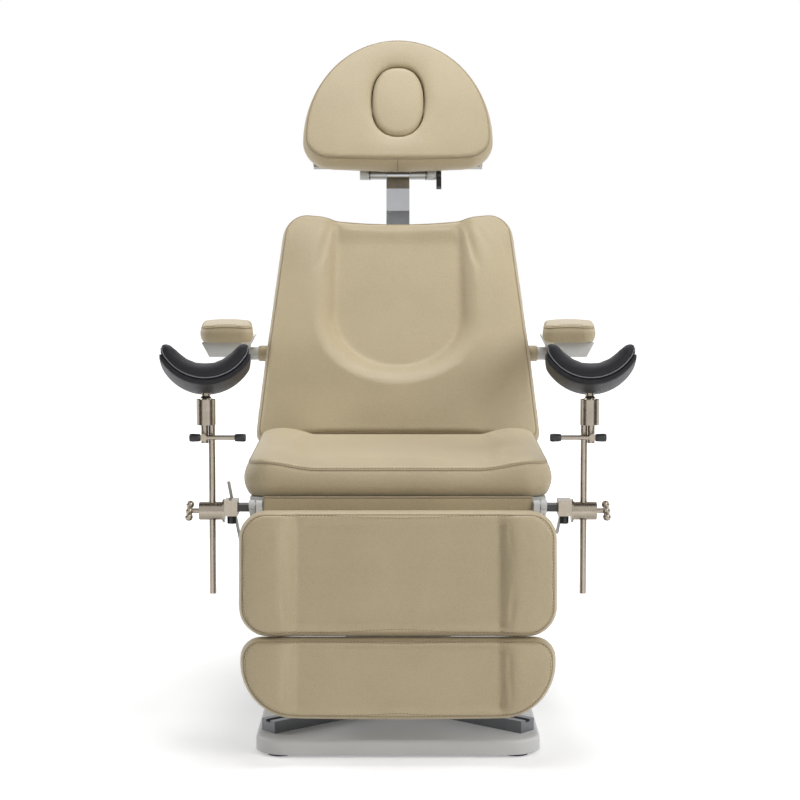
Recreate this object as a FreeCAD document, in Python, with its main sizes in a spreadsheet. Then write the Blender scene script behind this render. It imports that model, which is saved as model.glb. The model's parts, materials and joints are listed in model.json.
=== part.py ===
"""Electric examination table: padded seat, back, head, legs, arms and two leg supports on a lifting column.

Frame: +Z up, X across, the foot end at -Y. Millimetres and degrees.
The back and head are drawn flat in the frame of the back hinge, the legs flat in the frame of the leg
hinge, and each piece is then turned to its resting angle about that hinge.
"""
import FreeCAD
import Part
import Sketcher
import math
import os
import re

from FreeCAD import Rotation, Vector

doc = FreeCAD.newDocument("examination_table")

# Driving dimensions: alias, value
DIMENSIONS = [
    # base
    ("seat_y", -225.0), ("base_width", 556.0), ("base_length", 740.0), ("base_front", 310.0),
    ("base_thick", 29.0), ("base_corner", 60.0), ("base_round", 7.0),
    ("foot_height", 6.0), ("foot_radius", 24.0), ("foot_inset", 48.0), ("foot_end_inset", 37.0),
    ("brace_width", 42.0), ("brace_height", 24.0), ("brace_length", 262.0), ("brace_splay", 50.0),
    ("brace_x", 268.0), ("brace_y", -228.0), ("brace_groove", 5.0),
    # lifting column
    ("column_y", 60.0), ("column_width", 220.0), ("column_depth", 170.0), ("column_wall", 4.0),
    ("column_corner", 10.0), ("column_height", 285.0), ("column_gap", 0.3), ("column_rise", 27.0),
    ("column_foot", 6.0), ("spindle_radius", 14.0), ("spindle_length", 257.0),
    ("head_plate_width", 300.0), ("head_plate_depth", 190.0), ("head_plate_thick", 15.0),
    ("beam_depth", 120.0), ("beam_height", 40.0),
    # seat
    ("rail_width", 28.0), ("rail_height", 80.0), ("rail_half", 290.0), ("rail_front_inset", 13.0),
    ("rail_rear_over", 10.0), ("board_thick", 14.0), ("board_gap", 10.0), ("seat_depth", 470.0),
    ("seat_half", 308.0), ("seat_thick", 88.0), ("seat_edge_drop", 14.0), ("seat_front_round", 70.0),
    ("seat_rear_round", 40.0), ("seat_channel_half", 190.0), ("seat_channel_slope", 55.0),
    ("seat_channel_depth", 12.0), ("flap_half", 262.0), ("flap_thick", 3.0), ("flap_height", 30.0),
    ("flap_gap", 0.3), ("flap_drop", 24.0),
    # back
    ("back_hinge_gap", 17.0), ("back_hinge_z", 540.0), ("back_angle", 60.0), ("back_eye", 13.0),
    ("hinge_pin_radius", 6.0), ("pin_gap", 0.05), ("arm_plate", 12.0), ("plate_gap", 2.0),
    ("back_start", 30.0), ("back_length", 556.0), ("back_low_half", 312.0), ("back_top_half", 266.0),
    ("back_face", 35.0), ("back_thick", 85.0), ("back_edge_drop", 12.0), ("back_low_round", 25.0),
    ("back_top_round", 52.0), ("back_channel_half", 150.0), ("back_channel_slope", 36.0),
    ("back_channel_depth", 26.0), ("back_channel_start", 165.0), ("back_channel_drop", 138.0),
    ("back_channel_ease", 50.0), ("back_top_ease", 60.0), ("pad_crown", 60.0), ("back_board_thick", 14.0),
    ("back_board_inset", 14.0), ("back_rail_size", 30.0), ("back_rail_length", 470.0),
    # back and leg drives
    ("lever_length", 110.0), ("lever_thick", 14.0), ("lever_edge", 12.0), ("tube_radius", 11.0),
    ("yoke_pin_radius", 6.0), ("yoke_slot", 20.0), ("yoke_thick", 14.0), ("yoke_wall", 9.0),
    ("yoke_gap", 3.0), ("drive_radius", 16.0), ("rod_radius", 10.0), ("rod_gap", 0.4),
    ("back_drive_x", 190.0), ("back_drive_angle", 42.5), ("back_lever_tilt", 22.5), ("back_swing", 37.5),
    ("back_mouth", 130.0), ("back_rod_length", 154.0), ("back_drive_length", 165.0),
    ("leg_drive_x", -64.0), ("leg_lever_length", 60.0), ("leg_swing", 42.0), ("leg_tube_radius", 8.0),
    ("leg_tube_at", 22.0), ("leg_mouth", 100.0), ("leg_rod_length", 200.0), ("leg_drive_length", 170.0),
    ("motor_length", 80.0), ("motor_size", 58.0), ("bracket_height", 14.0), ("bracket_depth", 30.0),
    # legs
    ("leg_hinge_gap", 5.0), ("leg_hinge_z", 484.0), ("leg_angle", 84.0), ("leg_eye", 9.0),
    ("leg_pin_radius", 5.0), ("leg_board_low", 11.0), ("leg_board_thick", 10.0), ("leg_thick", 70.0),
    ("leg_start", 12.0), ("leg_length", 236.0), ("leg_half", 306.0), ("leg_round", 57.0),
    ("leg_gap", 6.0), ("foot_pad_length", 150.0), ("foot_half", 302.0), ("foot_top_round", 40.0),
    ("foot_end_round", 108.0), ("leg_channel_half", 190.0), ("leg_channel_slope", 28.0),
    ("leg_channel_depth", 13.0), ("leg_edge_drop", 9.0), ("leg_board_inset", 16.0),
    ("leg_rail_size", 30.0), ("leg_rail_half", 246.0), ("slide_radius", 8.0), ("slide_length", 252.0),
    ("slide_gap", 0.3),
    # head
    ("head_gap", 4.0), ("head_length", 337.0), ("head_half", 227.0), ("head_wide_at", 53.0),
    ("head_thick", 65.0), ("head_low_round", 42.0), ("head_edge_drop", 10.0), ("plug_half", 64.5),
    ("plug_long", 96.5), ("plug_at", 153.0), ("plug_gap", 0.4), ("bar_width", 55.0), ("bar_thick", 10.0),
    ("bar_low", 330.0), ("bend_drop", 41.0), ("bend_run", 50.0), ("bar_fit", 0.3),
    ("socket_wall", 6.0), ("socket_length", 110.0), ("socket_low", 450.0),
    ("head_hinge_b", 743.0), ("head_hinge_a", -50.0), ("head_pin_radius", 6.0), ("head_knuckle", 11.0),
    ("head_bracket_half", 90.0), ("head_strap", 54.0), ("head_board_thick", 10.0), ("head_board_half", 205.0),
    ("head_board_rise", 6.0), ("knuckle_gap", 0.5), ("head_lever_x", 92.0), ("head_lever_width", 12.0),
    ("head_lever_length", 36.0), ("head_lever_thick", 12.0),
    # arms
    ("arm_inner", 297.0), ("arm_splay", 4.8), ("arm_width", 114.0), ("arm_front", 8.0), ("arm_length", 318.0),
    ("arm_low", 786.0), ("arm_thick", 42.0), ("arm_round", 30.0), ("arm_pivot_b", 278.0),
    ("arm_pivot_a", -80.0), ("arm_axle_radius", 15.0), ("arm_boss_radius", 26.0), ("seat_clear", 0.3),
    ("arm_bracket_width", 84.0), ("arm_bracket_low", 52.0), ("arm_bracket_height", 30.0), ("arm_bracket_inset", 30.0),
    # leg supports
    ("bar_inset", 30.0), ("bar_z", 467.0), ("bar_height", 14.0), ("bar_depth", 30.0), ("bar_half", 338.0),
    ("block_inner", 314.0), ("block_width", 26.0), ("block_depth", 46.0), ("block_height", 31.0),
    ("block_drop", 8.0), ("screw_radius", 4.0), ("screw_knob_radius", 9.0), ("screw_knob_height", 14.0),
    ("screw_neck", 3.0), ("rod_x", 365.0), ("stirrup_radius", 6.5), ("stirrup_low", 303.0),
    ("clamp_radius", 18.0), ("clamp_length", 50.0), ("flange_radius", 23.0), ("flange_thick", 4.0),
    ("knob_stem", 5.0), ("knob_reach", 20.0), ("knob_bar", 34.0), ("knob_bar_radius", 4.0),
    ("knob_ball", 8.0), ("knob_turn", 38.0), ("socket_x", 376.0), ("socket_radius", 18.5),
    ("socket_height", 50.0), ("socket_z", 637.0), ("stub_radius", 7.0), ("stub_length", 36.0),
    ("stub_gap", 0.5), ("handle_z", 614.0), ("handle_radius", 4.5), ("handle_inner", 82.0),
    ("handle_outer", 26.0), ("handle_clear", 1.5), ("hub_radius", 7.0), ("ball_radius", 12.0),
    ("ball_gap", 0.08), ("ball_sink", 3.0), ("stem_radius", 7.0), ("cup_z", 709.0), ("cup_inner", 70.0),
    ("cup_pad_thick", 26.0), ("cup_shell_thick", 6.0), ("cup_span", 66.0), ("cup_depth", 190.0),
    ("cup_pad_over", 6.0), ("cup_tilt", -10.0), ("lever_x", 326.0), ("lever_inset", 85.0), ("lever_z", 470.0),
    ("lever_strip", 16.0), ("lever_sheet", 5.0), ("lever_down_left", 110.0), ("lever_up_left", 48.0),
    ("lever_down_right", 56.0), ("lever_up_right", 12.0),
    ("lever_lean", 11.0), ("lever_axle", 6.0),
]

sheet = doc.addObject("Spreadsheet::Sheet", "Dims")
for row, (alias, value) in enumerate(DIMENSIONS, start=1):
    sheet.set(f"A{row}", alias)
    sheet.set(f"B{row}", str(value))
    sheet.setAlias(f"B{row}", alias)
doc.recompute()

# Places that follow another dimension: share of it, and a named distance added or taken away
TIED = {
    "back_hinge_y": (0.5, "seat_depth", 1, "back_hinge_gap"),
    "leg_hinge_y": (-0.5, "seat_depth", -1, "leg_hinge_gap"),
    "rail_front": (0.5, "seat_depth", -1, "rail_front_inset"),
    "rail_rear": (0.5, "seat_depth", 1, "rail_rear_over"),
    "bar_y": (-0.5, "seat_depth", 1, "bar_inset"),
    "lever_y": (-0.5, "seat_depth", 1, "lever_inset"),
    "head_start": (1, "head_hinge_b", 1, "head_gap"),
    "bar_bend_top": (1, "head_hinge_b", -1, "bend_drop"),
}
ALIASES = re.compile(r"\b(" + "|".join(alias for alias, _ in DIMENSIONS) + r")\b")
TIED_NAMES = re.compile(r"\b(" + "|".join(TIED) + r")\b")


def dim(alias):
    """The value of one cell of the sheet, or of a place tied to cells."""
    if alias in TIED:
        share, base, way, distance = TIED[alias]
        return share * dim(base) + way * dim(distance)
    return float(sheet.get(alias))


def tied_text(found):
    """The formula of a tied place."""
    share, base, way, distance = TIED[found.group()]
    return f"({share} * {base} + {way} * {distance})"


def bind(thing, prop, text):
    """Bind a property to a formula of sheet aliases."""
    thing.setExpression(prop, ALIASES.sub(r"Dims.\1", TIED_NAMES.sub(tied_text, str(text))))


# Each section is the frame its pieces are drawn in: hinge Y, hinge Z and resting angle about X.
SEAT = ("seat_y", "0", "0")
BACK = ("seat_y + back_hinge_y", "back_hinge_z", "back_angle")
LEG = ("seat_y + leg_hinge_y", "leg_hinge_z", "leg_angle")


def place(thing, section, spot, lay="z"):
    """Put a primitive at spot in a section's frame, with its own Z laid along x, y or z there."""
    hinge_y, hinge_z, angle = section
    x, y, z = spot
    bind(thing, "Placement.Base.x", x)
    bind(thing, "Placement.Base.y", f"{hinge_y} + ({y}) * cos(({angle}) * 1deg) - ({z}) * sin(({angle}) * 1deg)")
    bind(thing, "Placement.Base.z", f"{hinge_z} + ({y}) * sin(({angle}) * 1deg) + ({z}) * cos(({angle}) * 1deg)")
    if lay == "x":
        thing.Placement.Rotation = Rotation(Vector(0, 1, 0), 90)
        return thing
    thing.Placement.Rotation = Rotation(Vector(1, 0, 0), 1)
    bind(thing, "Placement.Rotation.Angle", f"({angle}) - 90" if lay == "y" else angle)
    return thing


def box(name, section, low, size):
    """A box from its low corner and its size along x, y and z."""
    thing = doc.addObject("Part::Box", name)
    for prop, text in zip(("Length", "Width", "Height"), size):
        bind(thing, prop, text)
    return place(thing, section, low)


def cylinder(name, section, start, radius, length, lay):
    """A cylinder from the centre of its first end, along x, y or z of its section."""
    thing = doc.addObject("Part::Cylinder", name)
    bind(thing, "Radius", radius)
    bind(thing, "Height", length)
    return place(thing, section, start, lay)


def fuse(name, pieces):
    """Several shapes as one solid."""
    thing = doc.addObject("Part::MultiFuse", name)
    thing.Shapes = pieces
    thing.Refine = True
    return thing


def cut(name, base, tools):
    """A shape with every tool taken away."""
    tool = tools[0] if len(tools) == 1 else fuse(name + "_tools", tools)
    thing = doc.addObject("Part::Cut", name)
    thing.Base = base
    thing.Tool = tool
    return thing


def group(name, pieces):
    """Separate equal solids kept together."""
    thing = doc.addObject("Part::Compound", name)
    thing.Links = pieces
    return thing


def feature(name, shape, section):
    """A shape drawn in a section's frame, placed with it."""
    thing = doc.addObject("Part::Feature", name)
    thing.Shape = shape
    place(thing, section, ("0", "0", "0"))
    return thing


def signed(side, low, length):
    """The low X of something that spans low to low + length on the right, mirrored on the left."""
    return low if side > 0 else f"-({low}) - ({length})"


SIDES = (("left", -1), ("right", 1))
SUBPARTS = []


def keep(label, thing):
    """Name a finished sub-part after the piece it is."""
    thing.Label = label
    SUBPARTS.append(thing)
    return thing


# Plates and tubes made as bodies: a centred rectangle padded up, its corners rounded

def rectangle(body, name, width, depth):
    """A sketch of a rectangle centred on the body's origin, in its XY plane."""
    sketch = body.newObject("Sketcher::SketchObject", name)
    plane = [role for role in body.Origin.OriginFeatures if role.Role == "XY_Plane"][0]
    sketch.AttachmentSupport = [(plane, "")]
    sketch.MapMode = "FlatFace"
    corners = [Vector(-10, -10, 0), Vector(10, -10, 0), Vector(10, 10, 0), Vector(-10, 10, 0)]
    for index, corner in enumerate(corners):
        sketch.addGeometry(Part.LineSegment(corner, corners[(index + 1) % 4]), False)
    for index in range(4):
        sketch.addConstraint(Sketcher.Constraint("Coincident", index, 2, (index + 1) % 4, 1))
        sketch.addConstraint(Sketcher.Constraint("Vertical" if index % 2 else "Horizontal", index))
    sketch.addConstraint(Sketcher.Constraint("Symmetric", 0, 1, 2, 1, -1, 1))
    across = sketch.addConstraint(Sketcher.Constraint("DistanceX", 0, 1, 0, 2, 20))
    along = sketch.addConstraint(Sketcher.Constraint("DistanceY", 1, 1, 1, 2, 20))
    bind(sketch, f"Constraints[{across}]", width)
    bind(sketch, f"Constraints[{along}]", depth)
    return sketch


def edges_where(shape, test):
    """Names of a shape's straight or round edges that pass a test."""
    return [f"Edge{index}" for index, edge in enumerate(shape.Edges, start=1) if test(edge)]


def slab(name, size, spot, corner=None, top_round=None, bore=None):
    """A plate or, with bore given as its inner width and depth, an open tube standing on spot."""
    body = doc.addObject("PartDesign::Body", name)
    pad = body.newObject("PartDesign::Pad", name + "_pad")
    pad.Profile = rectangle(body, name + "_outline", size[0], size[1])
    bind(pad, "Length", size[2])
    doc.recompute()
    if corner:
        fillet = body.newObject("PartDesign::Fillet", name + "_corners")
        upright = edges_where(pad.Shape, lambda e: abs(e.Vertexes[0].Z - e.Vertexes[-1].Z) > 1)
        fillet.Base = (pad, upright)
        bind(fillet, "Radius", corner)
        doc.recompute()
    if top_round:
        last = body.Tip
        height = last.Shape.BoundBox.ZMax
        rim = body.newObject("PartDesign::Fillet", name + "_rim")
        rim.Base = (last, edges_where(last.Shape, lambda e: e.BoundBox.ZMin > height - 0.01))
        bind(rim, "Radius", top_round)
        doc.recompute()
    if bore:
        hollow = body.newObject("PartDesign::Pocket", name + "_bore")
        hollow.Profile = rectangle(body, name + "_inside", bore[0], bore[1])
        hollow.Type = "ThroughAll"
        hollow.Reversed = True
        doc.recompute()
    return place(body, SEAT, spot)


# Base: plate on four feet, two splayed braces and the outer stage of the lifting column

BASE_TOP = "foot_height + base_thick"
BASE_MIDDLE = "base_length / 2 - base_front"
plate = slab("BasePlate", ("base_width", "base_length", "base_thick"), ("0", BASE_MIDDLE, "foot_height"),
             corner="base_corner", top_round="base_round")
keep("base_plate", plate)

feet = []
for side_name, side in SIDES:
    for end_name, end in (("front", -1), ("rear", 1)):
        foot_x = f"{side} * (base_width / 2 - foot_inset)"
        foot_y = f"{BASE_MIDDLE} + {end} * (base_length / 2 - foot_end_inset)"
        feet.append(cylinder(f"Foot_{side_name}_{end_name}", SEAT, (foot_x, foot_y, "0"),
                             "foot_radius", "foot_height", "z"))
keep("base_feet", group("BaseFeet", feet))


def brace(side_name, side):
    """A grooved bar laid on the plate, from its edge inwards and back to the column."""
    bar = doc.addObject("Part::Box", f"BraceBar_{side_name}")
    groove = doc.addObject("Part::Box", f"BraceGroove_{side_name}")
    for thing, width, height, lift in ((bar, "brace_width", "brace_height", "0"),
                                       (groove, "brace_width / 3", "brace_groove", "brace_height - brace_groove")):
        bind(thing, "Length", width)
        bind(thing, "Width", "brace_length")
        bind(thing, "Height", height)
        inset = f"(brace_width - {width}) / 2"
        shift = inset if side < 0 else f"-(brace_width - ({inset}))"
        bind(thing, "Placement.Base.x", f"{side} * brace_x + ({shift}) * cos(brace_splay * 1deg)")
        bind(thing, "Placement.Base.y", f"seat_y + brace_y - ({side}) * ({shift}) * sin(-brace_splay * 1deg)")
        bind(thing, "Placement.Base.z", f"{BASE_TOP} + {lift}")
        thing.Placement.Rotation = Rotation(Vector(0, 0, side), 1)
        bind(thing, "Placement.Rotation.Angle", "brace_splay")
    return cut(f"Brace_{side_name}", bar, [groove])


keep("brace_rails", group("BraceRails", [brace(side_name, side) for side_name, side in SIDES]))

outer = slab("ColumnOuter", ("column_width", "column_depth", "column_height"), ("0", "column_y", BASE_TOP),
             corner="column_corner",
             bore=("column_width - 2 * column_wall", "column_depth - 2 * column_wall"))
keep("column_outer", outer)

INNER_WIDTH = "column_width - 2 * column_wall - 2 * column_gap"
INNER_DEPTH = "column_depth - 2 * column_wall - 2 * column_gap"
INNER_TOP = f"{BASE_TOP} + column_height + column_rise"
inner = slab("ColumnInner", (INNER_WIDTH, INNER_DEPTH, "column_height + column_rise - column_foot"),
             ("0", "column_y", f"{BASE_TOP} + column_foot"), corner="column_corner - column_wall",
             bore=(f"{INNER_WIDTH} - 2 * column_wall", f"{INNER_DEPTH} - 2 * column_wall"))
keep("column_inner", inner)
keep("lift_spindle", cylinder("LiftSpindle", SEAT, ("0", "column_y", BASE_TOP), "spindle_radius",
                              "spindle_length", "z"))

# Column head: plate on the inner stage with the wide beam that carries the seat rails

head_plate = box("HeadPlate", SEAT, ("-head_plate_width / 2", "column_y - head_plate_depth / 2", INNER_TOP),
                 ("head_plate_width", "head_plate_depth", "head_plate_thick"))
BEAM_LOW = f"{INNER_TOP} + head_plate_thick"
beam = box("Beam", SEAT, ("-rail_half", "column_y - beam_depth / 2", BEAM_LOW),
           ("2 * rail_half", "beam_depth", "beam_height"))
keep("column_head", fuse("ColumnHead", [head_plate, beam]))

# Seat: two rails with hinge ears at both ends, a board, the pad and the flap over the leg hinge

RAIL_LOW = f"{BEAM_LOW} + beam_height"
RAIL_TOP = f"{RAIL_LOW} + rail_height"
PAD_LOW = f"{RAIL_TOP} + board_thick"


def seat_rail(side_name, side):
    """A rail along one side, with an ear for the leg hinge in front and one for the back hinge behind."""
    rail = box(f"Rail_{side_name}", SEAT, (signed(side, "rail_half - rail_width", "rail_width"), "-rail_front",
                                           RAIL_LOW), ("rail_width", "rail_front + rail_rear", "rail_height"))
    ear_x = signed(side, "rail_half - arm_plate", "arm_plate")
    front = box(f"LegEar_{side_name}", SEAT, (ear_x, "leg_hinge_y", "leg_hinge_z - 2 * leg_eye"),
                ("arm_plate", "-leg_hinge_y - rail_front + rail_width", f"{RAIL_TOP} - leg_hinge_z + 2 * leg_eye"))
    front_eye = cylinder(f"LegEye_{side_name}", SEAT, (ear_x, "leg_hinge_y", "leg_hinge_z"),
                         "leg_eye", "arm_plate", "x")
    front_bore = cylinder(f"LegBore_{side_name}", SEAT, (ear_x, "leg_hinge_y", "leg_hinge_z"),
                          "leg_pin_radius", "arm_plate", "x")
    back_ear_x = signed(side, "rail_half - rail_width", "arm_plate")
    rear = box(f"BackEar_{side_name}", SEAT, (back_ear_x, "back_hinge_y - back_eye", RAIL_LOW),
               ("arm_plate", "2 * back_eye", f"back_hinge_z - ({RAIL_LOW})"))
    rear_eye = cylinder(f"BackEye_{side_name}", SEAT, (back_ear_x, "back_hinge_y", "back_hinge_z"),
                        "back_eye", "arm_plate", "x")
    rear_bore = cylinder(f"BackBore_{side_name}", SEAT, (back_ear_x, "back_hinge_y", "back_hinge_z"),
                         "hinge_pin_radius", "arm_plate", "x")
    slot = box(f"BarSlot_{side_name}", SEAT, (signed(side, "rail_half - rail_width", "rail_width"),
                                              "bar_y - bar_depth / 2", "bar_z"),
               ("rail_width", "bar_depth", "bar_height"))
    solid = fuse(f"RailSolid_{side_name}", [rail, front, front_eye, rear, rear_eye])
    return cut(f"SeatRail_{side_name}", solid, [front_bore, rear_bore, slot])


for side_name, side in SIDES:
    keep(f"seat_rail_{side_name}", seat_rail(side_name, side))
keep("seat_board", slab("SeatBoard", ("2 * rail_half", "seat_depth - 2 * board_gap", "board_thick"),
                        ("0", "0", RAIL_TOP), corner="board_gap"))
keep("stirrup_bar", box("StirrupBar", SEAT, ("-bar_half", "bar_y - bar_depth / 2", "bar_z"),
                        ("2 * bar_half", "bar_depth", "bar_height")))
keep("hinge_flap", box("HingeFlap", SEAT, ("-flap_half", "-seat_depth / 2 - flap_gap - flap_thick",
                                           f"{PAD_LOW} - flap_drop"),
                       ("2 * flap_half", "flap_thick", "flap_height")))

pins = []
for side_name, side in SIDES:
    pins.append(cylinder(f"BackPin_{side_name}", SEAT,
                         (signed(side, "rail_half - rail_width - arm_plate - plate_gap", "2 * arm_plate + plate_gap"),
                          "back_hinge_y", "back_hinge_z"), "hinge_pin_radius", "2 * arm_plate + plate_gap", "x"))
    pins.append(cylinder(f"LegPin_{side_name}", SEAT,
                         (signed(side, "rail_half - 2 * arm_plate - plate_gap", "2 * arm_plate + plate_gap"),
                          "leg_hinge_y", "leg_hinge_z"), "leg_pin_radius", "2 * arm_plate + plate_gap", "x"))
keep("hinge_pins", group("HingePins", pins))


# Cushions: lofts through closed profiles of lines and arcs, one at each station along the pad

def corner_arc(centre, radius, start, sweep):
    """A quarter round from one angle, as an edge in the profile's plane."""
    angles = [math.radians(start + sweep * part) for part in (0, 0.5, 1)]
    points = [Vector(centre[0] + radius * math.cos(a), 0, centre[1] + radius * math.sin(a)) for a in angles]
    return Part.Arc(*points).toShape()


def pad_profile(at, half, low, high, channel=0.0, slope=0.0, depth=0.0):
    """A pad's cross profile at one station: rounded corners, and a sunk channel between two bolsters."""
    tall = high - low
    back_round = 0.22 * tall
    face_round = 0.45 * tall
    floor = max(min(channel, half - face_round - slope - 4), 2.0)
    points = {"back": (half - back_round, low), "side_low": (half, low + back_round),
              "side_high": (half, high - face_round), "face": (half - face_round, high),
              "lip": (floor + slope, high), "floor": (floor, high - depth)}

    def line(first, second):
        return Part.LineSegment(Vector(first[0], 0, first[1]), Vector(second[0], 0, second[1])).toShape()

    def mirrored(point):
        return (-point[0], point[1])

    right = [corner_arc((half - back_round, low + back_round), back_round, -90, 90),
             line(points["side_low"], points["side_high"]),
             corner_arc((half - face_round, high - face_round), face_round, 0, 90)]
    left = [corner_arc((face_round - half, high - face_round), face_round, 90, 90),
            line(mirrored(points["side_high"]), mirrored(points["side_low"])),
            corner_arc((back_round - half, low + back_round), back_round, 180, 90)]
    face = ["face", "lip", "floor"] if slope else ["face"]
    trail = [points[name] for name in face] + [mirrored(points[name]) for name in reversed(face)]
    across = [line(first, second) for first, second in zip(trail, trail[1:])]
    under = line(mirrored(points["back"]), points["back"])
    wire = Part.Wire(right + across + left + [under])
    wire.translate(Vector(0, at, 0))
    return wire


def ease(value):
    """A smooth step from 0 to 1."""
    value = min(max(value, 0.0), 1.0)
    return value * value * (3 - 2 * value)


def rounded_stations(length, first, last, inner):
    """Distances along a pad: around both rounded ends, and a few between."""
    quarter = [math.radians(angle) for angle in (0, 25, 50, 75)]
    head = [first * (1 - math.cos(angle)) for angle in quarter]
    tail = [length - last * (1 - math.cos(angle)) for angle in reversed(quarter)]
    span = tail[0] - head[-1]
    return head + [head[-1] + span * part / (inner + 1) for part in range(1, inner + 1)] + tail


def end_inset(at, length, first, last):
    """How far the outline draws in near a rounded end."""
    inset = 0.0
    if at < first:
        inset = first - math.sqrt(max(first ** 2 - (first - at) ** 2, 0.0))
    if length - at < last:
        inset = max(inset, last - math.sqrt(max(last ** 2 - (last - (length - at)) ** 2, 0.0)))
    return inset


def pad_solid(wires):
    """The closed solid through a pad's profiles."""
    return Part.makeLoft(wires, True, True)


def drawn_in(at, length, drop):
    """How much thinner the pad is near its ends."""
    return drop * (1 - ease(min(at, length - at) / dim("pad_crown")))


def seat_pad():
    length = dim("seat_depth")
    first, last = dim("seat_front_round"), dim("seat_rear_round")
    low = sum(dim(name) for name in ("foot_height", "base_thick", "column_height", "column_rise",
                                     "head_plate_thick", "beam_height", "rail_height", "board_thick"))
    wires = []
    for at in rounded_stations(length, first, last, 3):
        half = dim("seat_half") - end_inset(at, length, first, last)
        high = low + dim("seat_thick") - drawn_in(at, length, dim("seat_edge_drop"))
        depth = dim("seat_channel_depth") * ease(at / dim("seat_front_round"))
        wires.append(pad_profile(at - length / 2, half, low, high, dim("seat_channel_half"), dim("seat_channel_slope"),
                                 depth))
    return pad_solid(wires)


def back_pad():
    length = dim("back_length")
    first, last = dim("back_low_round"), dim("back_top_round")
    low = dim("back_face") - dim("back_thick")
    wires = []
    for at in rounded_stations(length, first, last, 7):
        taper = dim("back_low_half") + (dim("back_top_half") - dim("back_low_half")) * at / length
        half = taper - end_inset(at, length, first, last)
        high = dim("back_face") - drawn_in(at, length, dim("back_edge_drop"))
        inside = at - dim("back_channel_start")
        depth = dim("back_channel_depth") * ease(inside / dim("back_channel_ease"))
        depth *= 1 - 0.35 * ease((at - length) / dim("back_top_ease") + 1)
        short = min(max(1 - inside / dim("back_channel_drop"), 0.0), 1.0)
        channel = dim("back_channel_half") * math.sqrt(max(1 - short ** 2, 0.04))
        wires.append(pad_profile(dim("back_start") + at, half, low, high, channel, dim("back_channel_slope"), depth))
    return pad_solid(wires)


def leg_pad(start, length, half_width, first, last):
    low = dim("leg_board_low") + dim("leg_board_thick")
    wires = []
    for at in rounded_stations(length, first, last, 3):
        half = half_width - end_inset(at, length, first, last)
        high = low + dim("leg_thick") - drawn_in(at, length, dim("leg_edge_drop"))
        depth = dim("leg_channel_depth") * ease(min(at, length - at) / dim("pad_crown"))
        wires.append(pad_profile(-start - at, half, low, high, dim("leg_channel_half"), dim("leg_channel_slope"), depth))
    return pad_solid(wires)


def head_outline(at):
    """Half the head pad's width: a half ellipse above its widest place, rounded corners below."""
    wide_at, length = dim("head_wide_at"), dim("head_length")
    if at > wide_at:
        return dim("head_half") * math.sqrt(max(1 - ((at - wide_at) / (length - wide_at)) ** 2, 0.0025))
    return dim("head_half") - end_inset(at, length, dim("head_low_round"), 0.0)


def head_pad():
    length, low = dim("head_length"), dim("back_face") - dim("head_thick")
    wide_at, first = dim("head_wide_at"), dim("head_low_round")
    stations = [first * (1 - math.cos(math.radians(angle))) for angle in (0, 25, 50, 75)] + [wide_at]
    stations += [wide_at + (length - wide_at) * math.sin(math.radians(angle)) for angle in (15, 30, 45, 60, 72, 82)]
    wires = []
    for at in stations:
        high = dim("back_face") - drawn_in(at, length, dim("head_edge_drop"))
        wires.append(pad_profile(dim("head_start") + at, head_outline(at), low, high))
    return pad_solid(wires)


def oval(half_width, half_length, low, tall):
    """An upright oval block centred on the head pad's opening."""
    ring = Part.Ellipse(Vector(0, 0, 0), half_length, half_width).toShape()
    face = Part.Face(Part.Wire([ring]))
    face.rotate(Vector(0, 0, 0), Vector(0, 0, 1), 90)
    face.translate(Vector(0, dim("head_start") + dim("plug_at"), low))
    return face.extrude(Vector(0, 0, tall))


keep("seat_pad", feature("SeatPad", seat_pad(), SEAT))
keep("back_pad", feature("BackPad", back_pad(), BACK))
keep("leg_pad_upper", feature("LegPadUpper", leg_pad(dim("leg_start"), dim("leg_length"), dim("leg_half"),
                                                     dim("leg_round"), dim("leg_round")), LEG))
FOOT_START = "leg_start + leg_length + leg_gap"
keep("leg_pad_lower", feature("LegPadLower", leg_pad(dim("leg_start") + dim("leg_length") + dim("leg_gap"),
                                                     dim("foot_pad_length"), dim("foot_half"),
                                                     dim("foot_top_round"), dim("foot_end_round")), LEG))
head_hole = oval(dim("plug_half"), dim("plug_long"), dim("back_face") - 2 * dim("head_thick"), 3 * dim("head_thick"))
keep("head_pad", feature("HeadPad", head_pad().cut(head_hole), BACK))
keep("face_plug", feature("FacePlug", oval(dim("plug_half") - dim("plug_gap"), dim("plug_long") - dim("plug_gap"),
                                           dim("back_face") - dim("head_thick"),
                                           dim("head_thick") - dim("plug_gap")), BACK))


# Back: two rails hung on the back hinge, a board, the drive lever and the socket for the head bar

BOARD_FRONT = "back_face - back_thick"
BOARD_BACK = f"{BOARD_FRONT} - back_board_thick"
BACK_RAIL_LOW = f"{BOARD_BACK} - back_rail_size"
BACK_ARM_X = "rail_half - rail_width - plate_gap - arm_plate"


def back_rail(side_name, side):
    """A square rail behind the board, with the arm and eye that turn on the back hinge pin."""
    rail_x = signed(side, f"{BACK_ARM_X} + arm_plate - back_rail_size", "back_rail_size")
    tube = box(f"BackTube_{side_name}", BACK, (rail_x, "-back_eye", BACK_RAIL_LOW),
               ("back_rail_size", "back_rail_length", "back_rail_size"))
    arm_x = signed(side, BACK_ARM_X, "arm_plate")
    arm = box(f"BackArm_{side_name}", BACK, (arm_x, "-back_eye", BACK_RAIL_LOW),
              ("arm_plate", "back_start - plate_gap + back_eye", f"-({BACK_RAIL_LOW})"))
    eye = cylinder(f"BackArmEye_{side_name}", BACK, (arm_x, "0", "0"), "back_eye", "arm_plate", "x")
    bore = cylinder(f"BackArmBore_{side_name}", BACK, (arm_x, "0", "0"), "hinge_pin_radius + pin_gap",
                    "arm_plate", "x")
    return cut(f"BackRail_{side_name}", fuse(f"BackRailSolid_{side_name}", [tube, arm, eye]), [bore])


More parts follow.
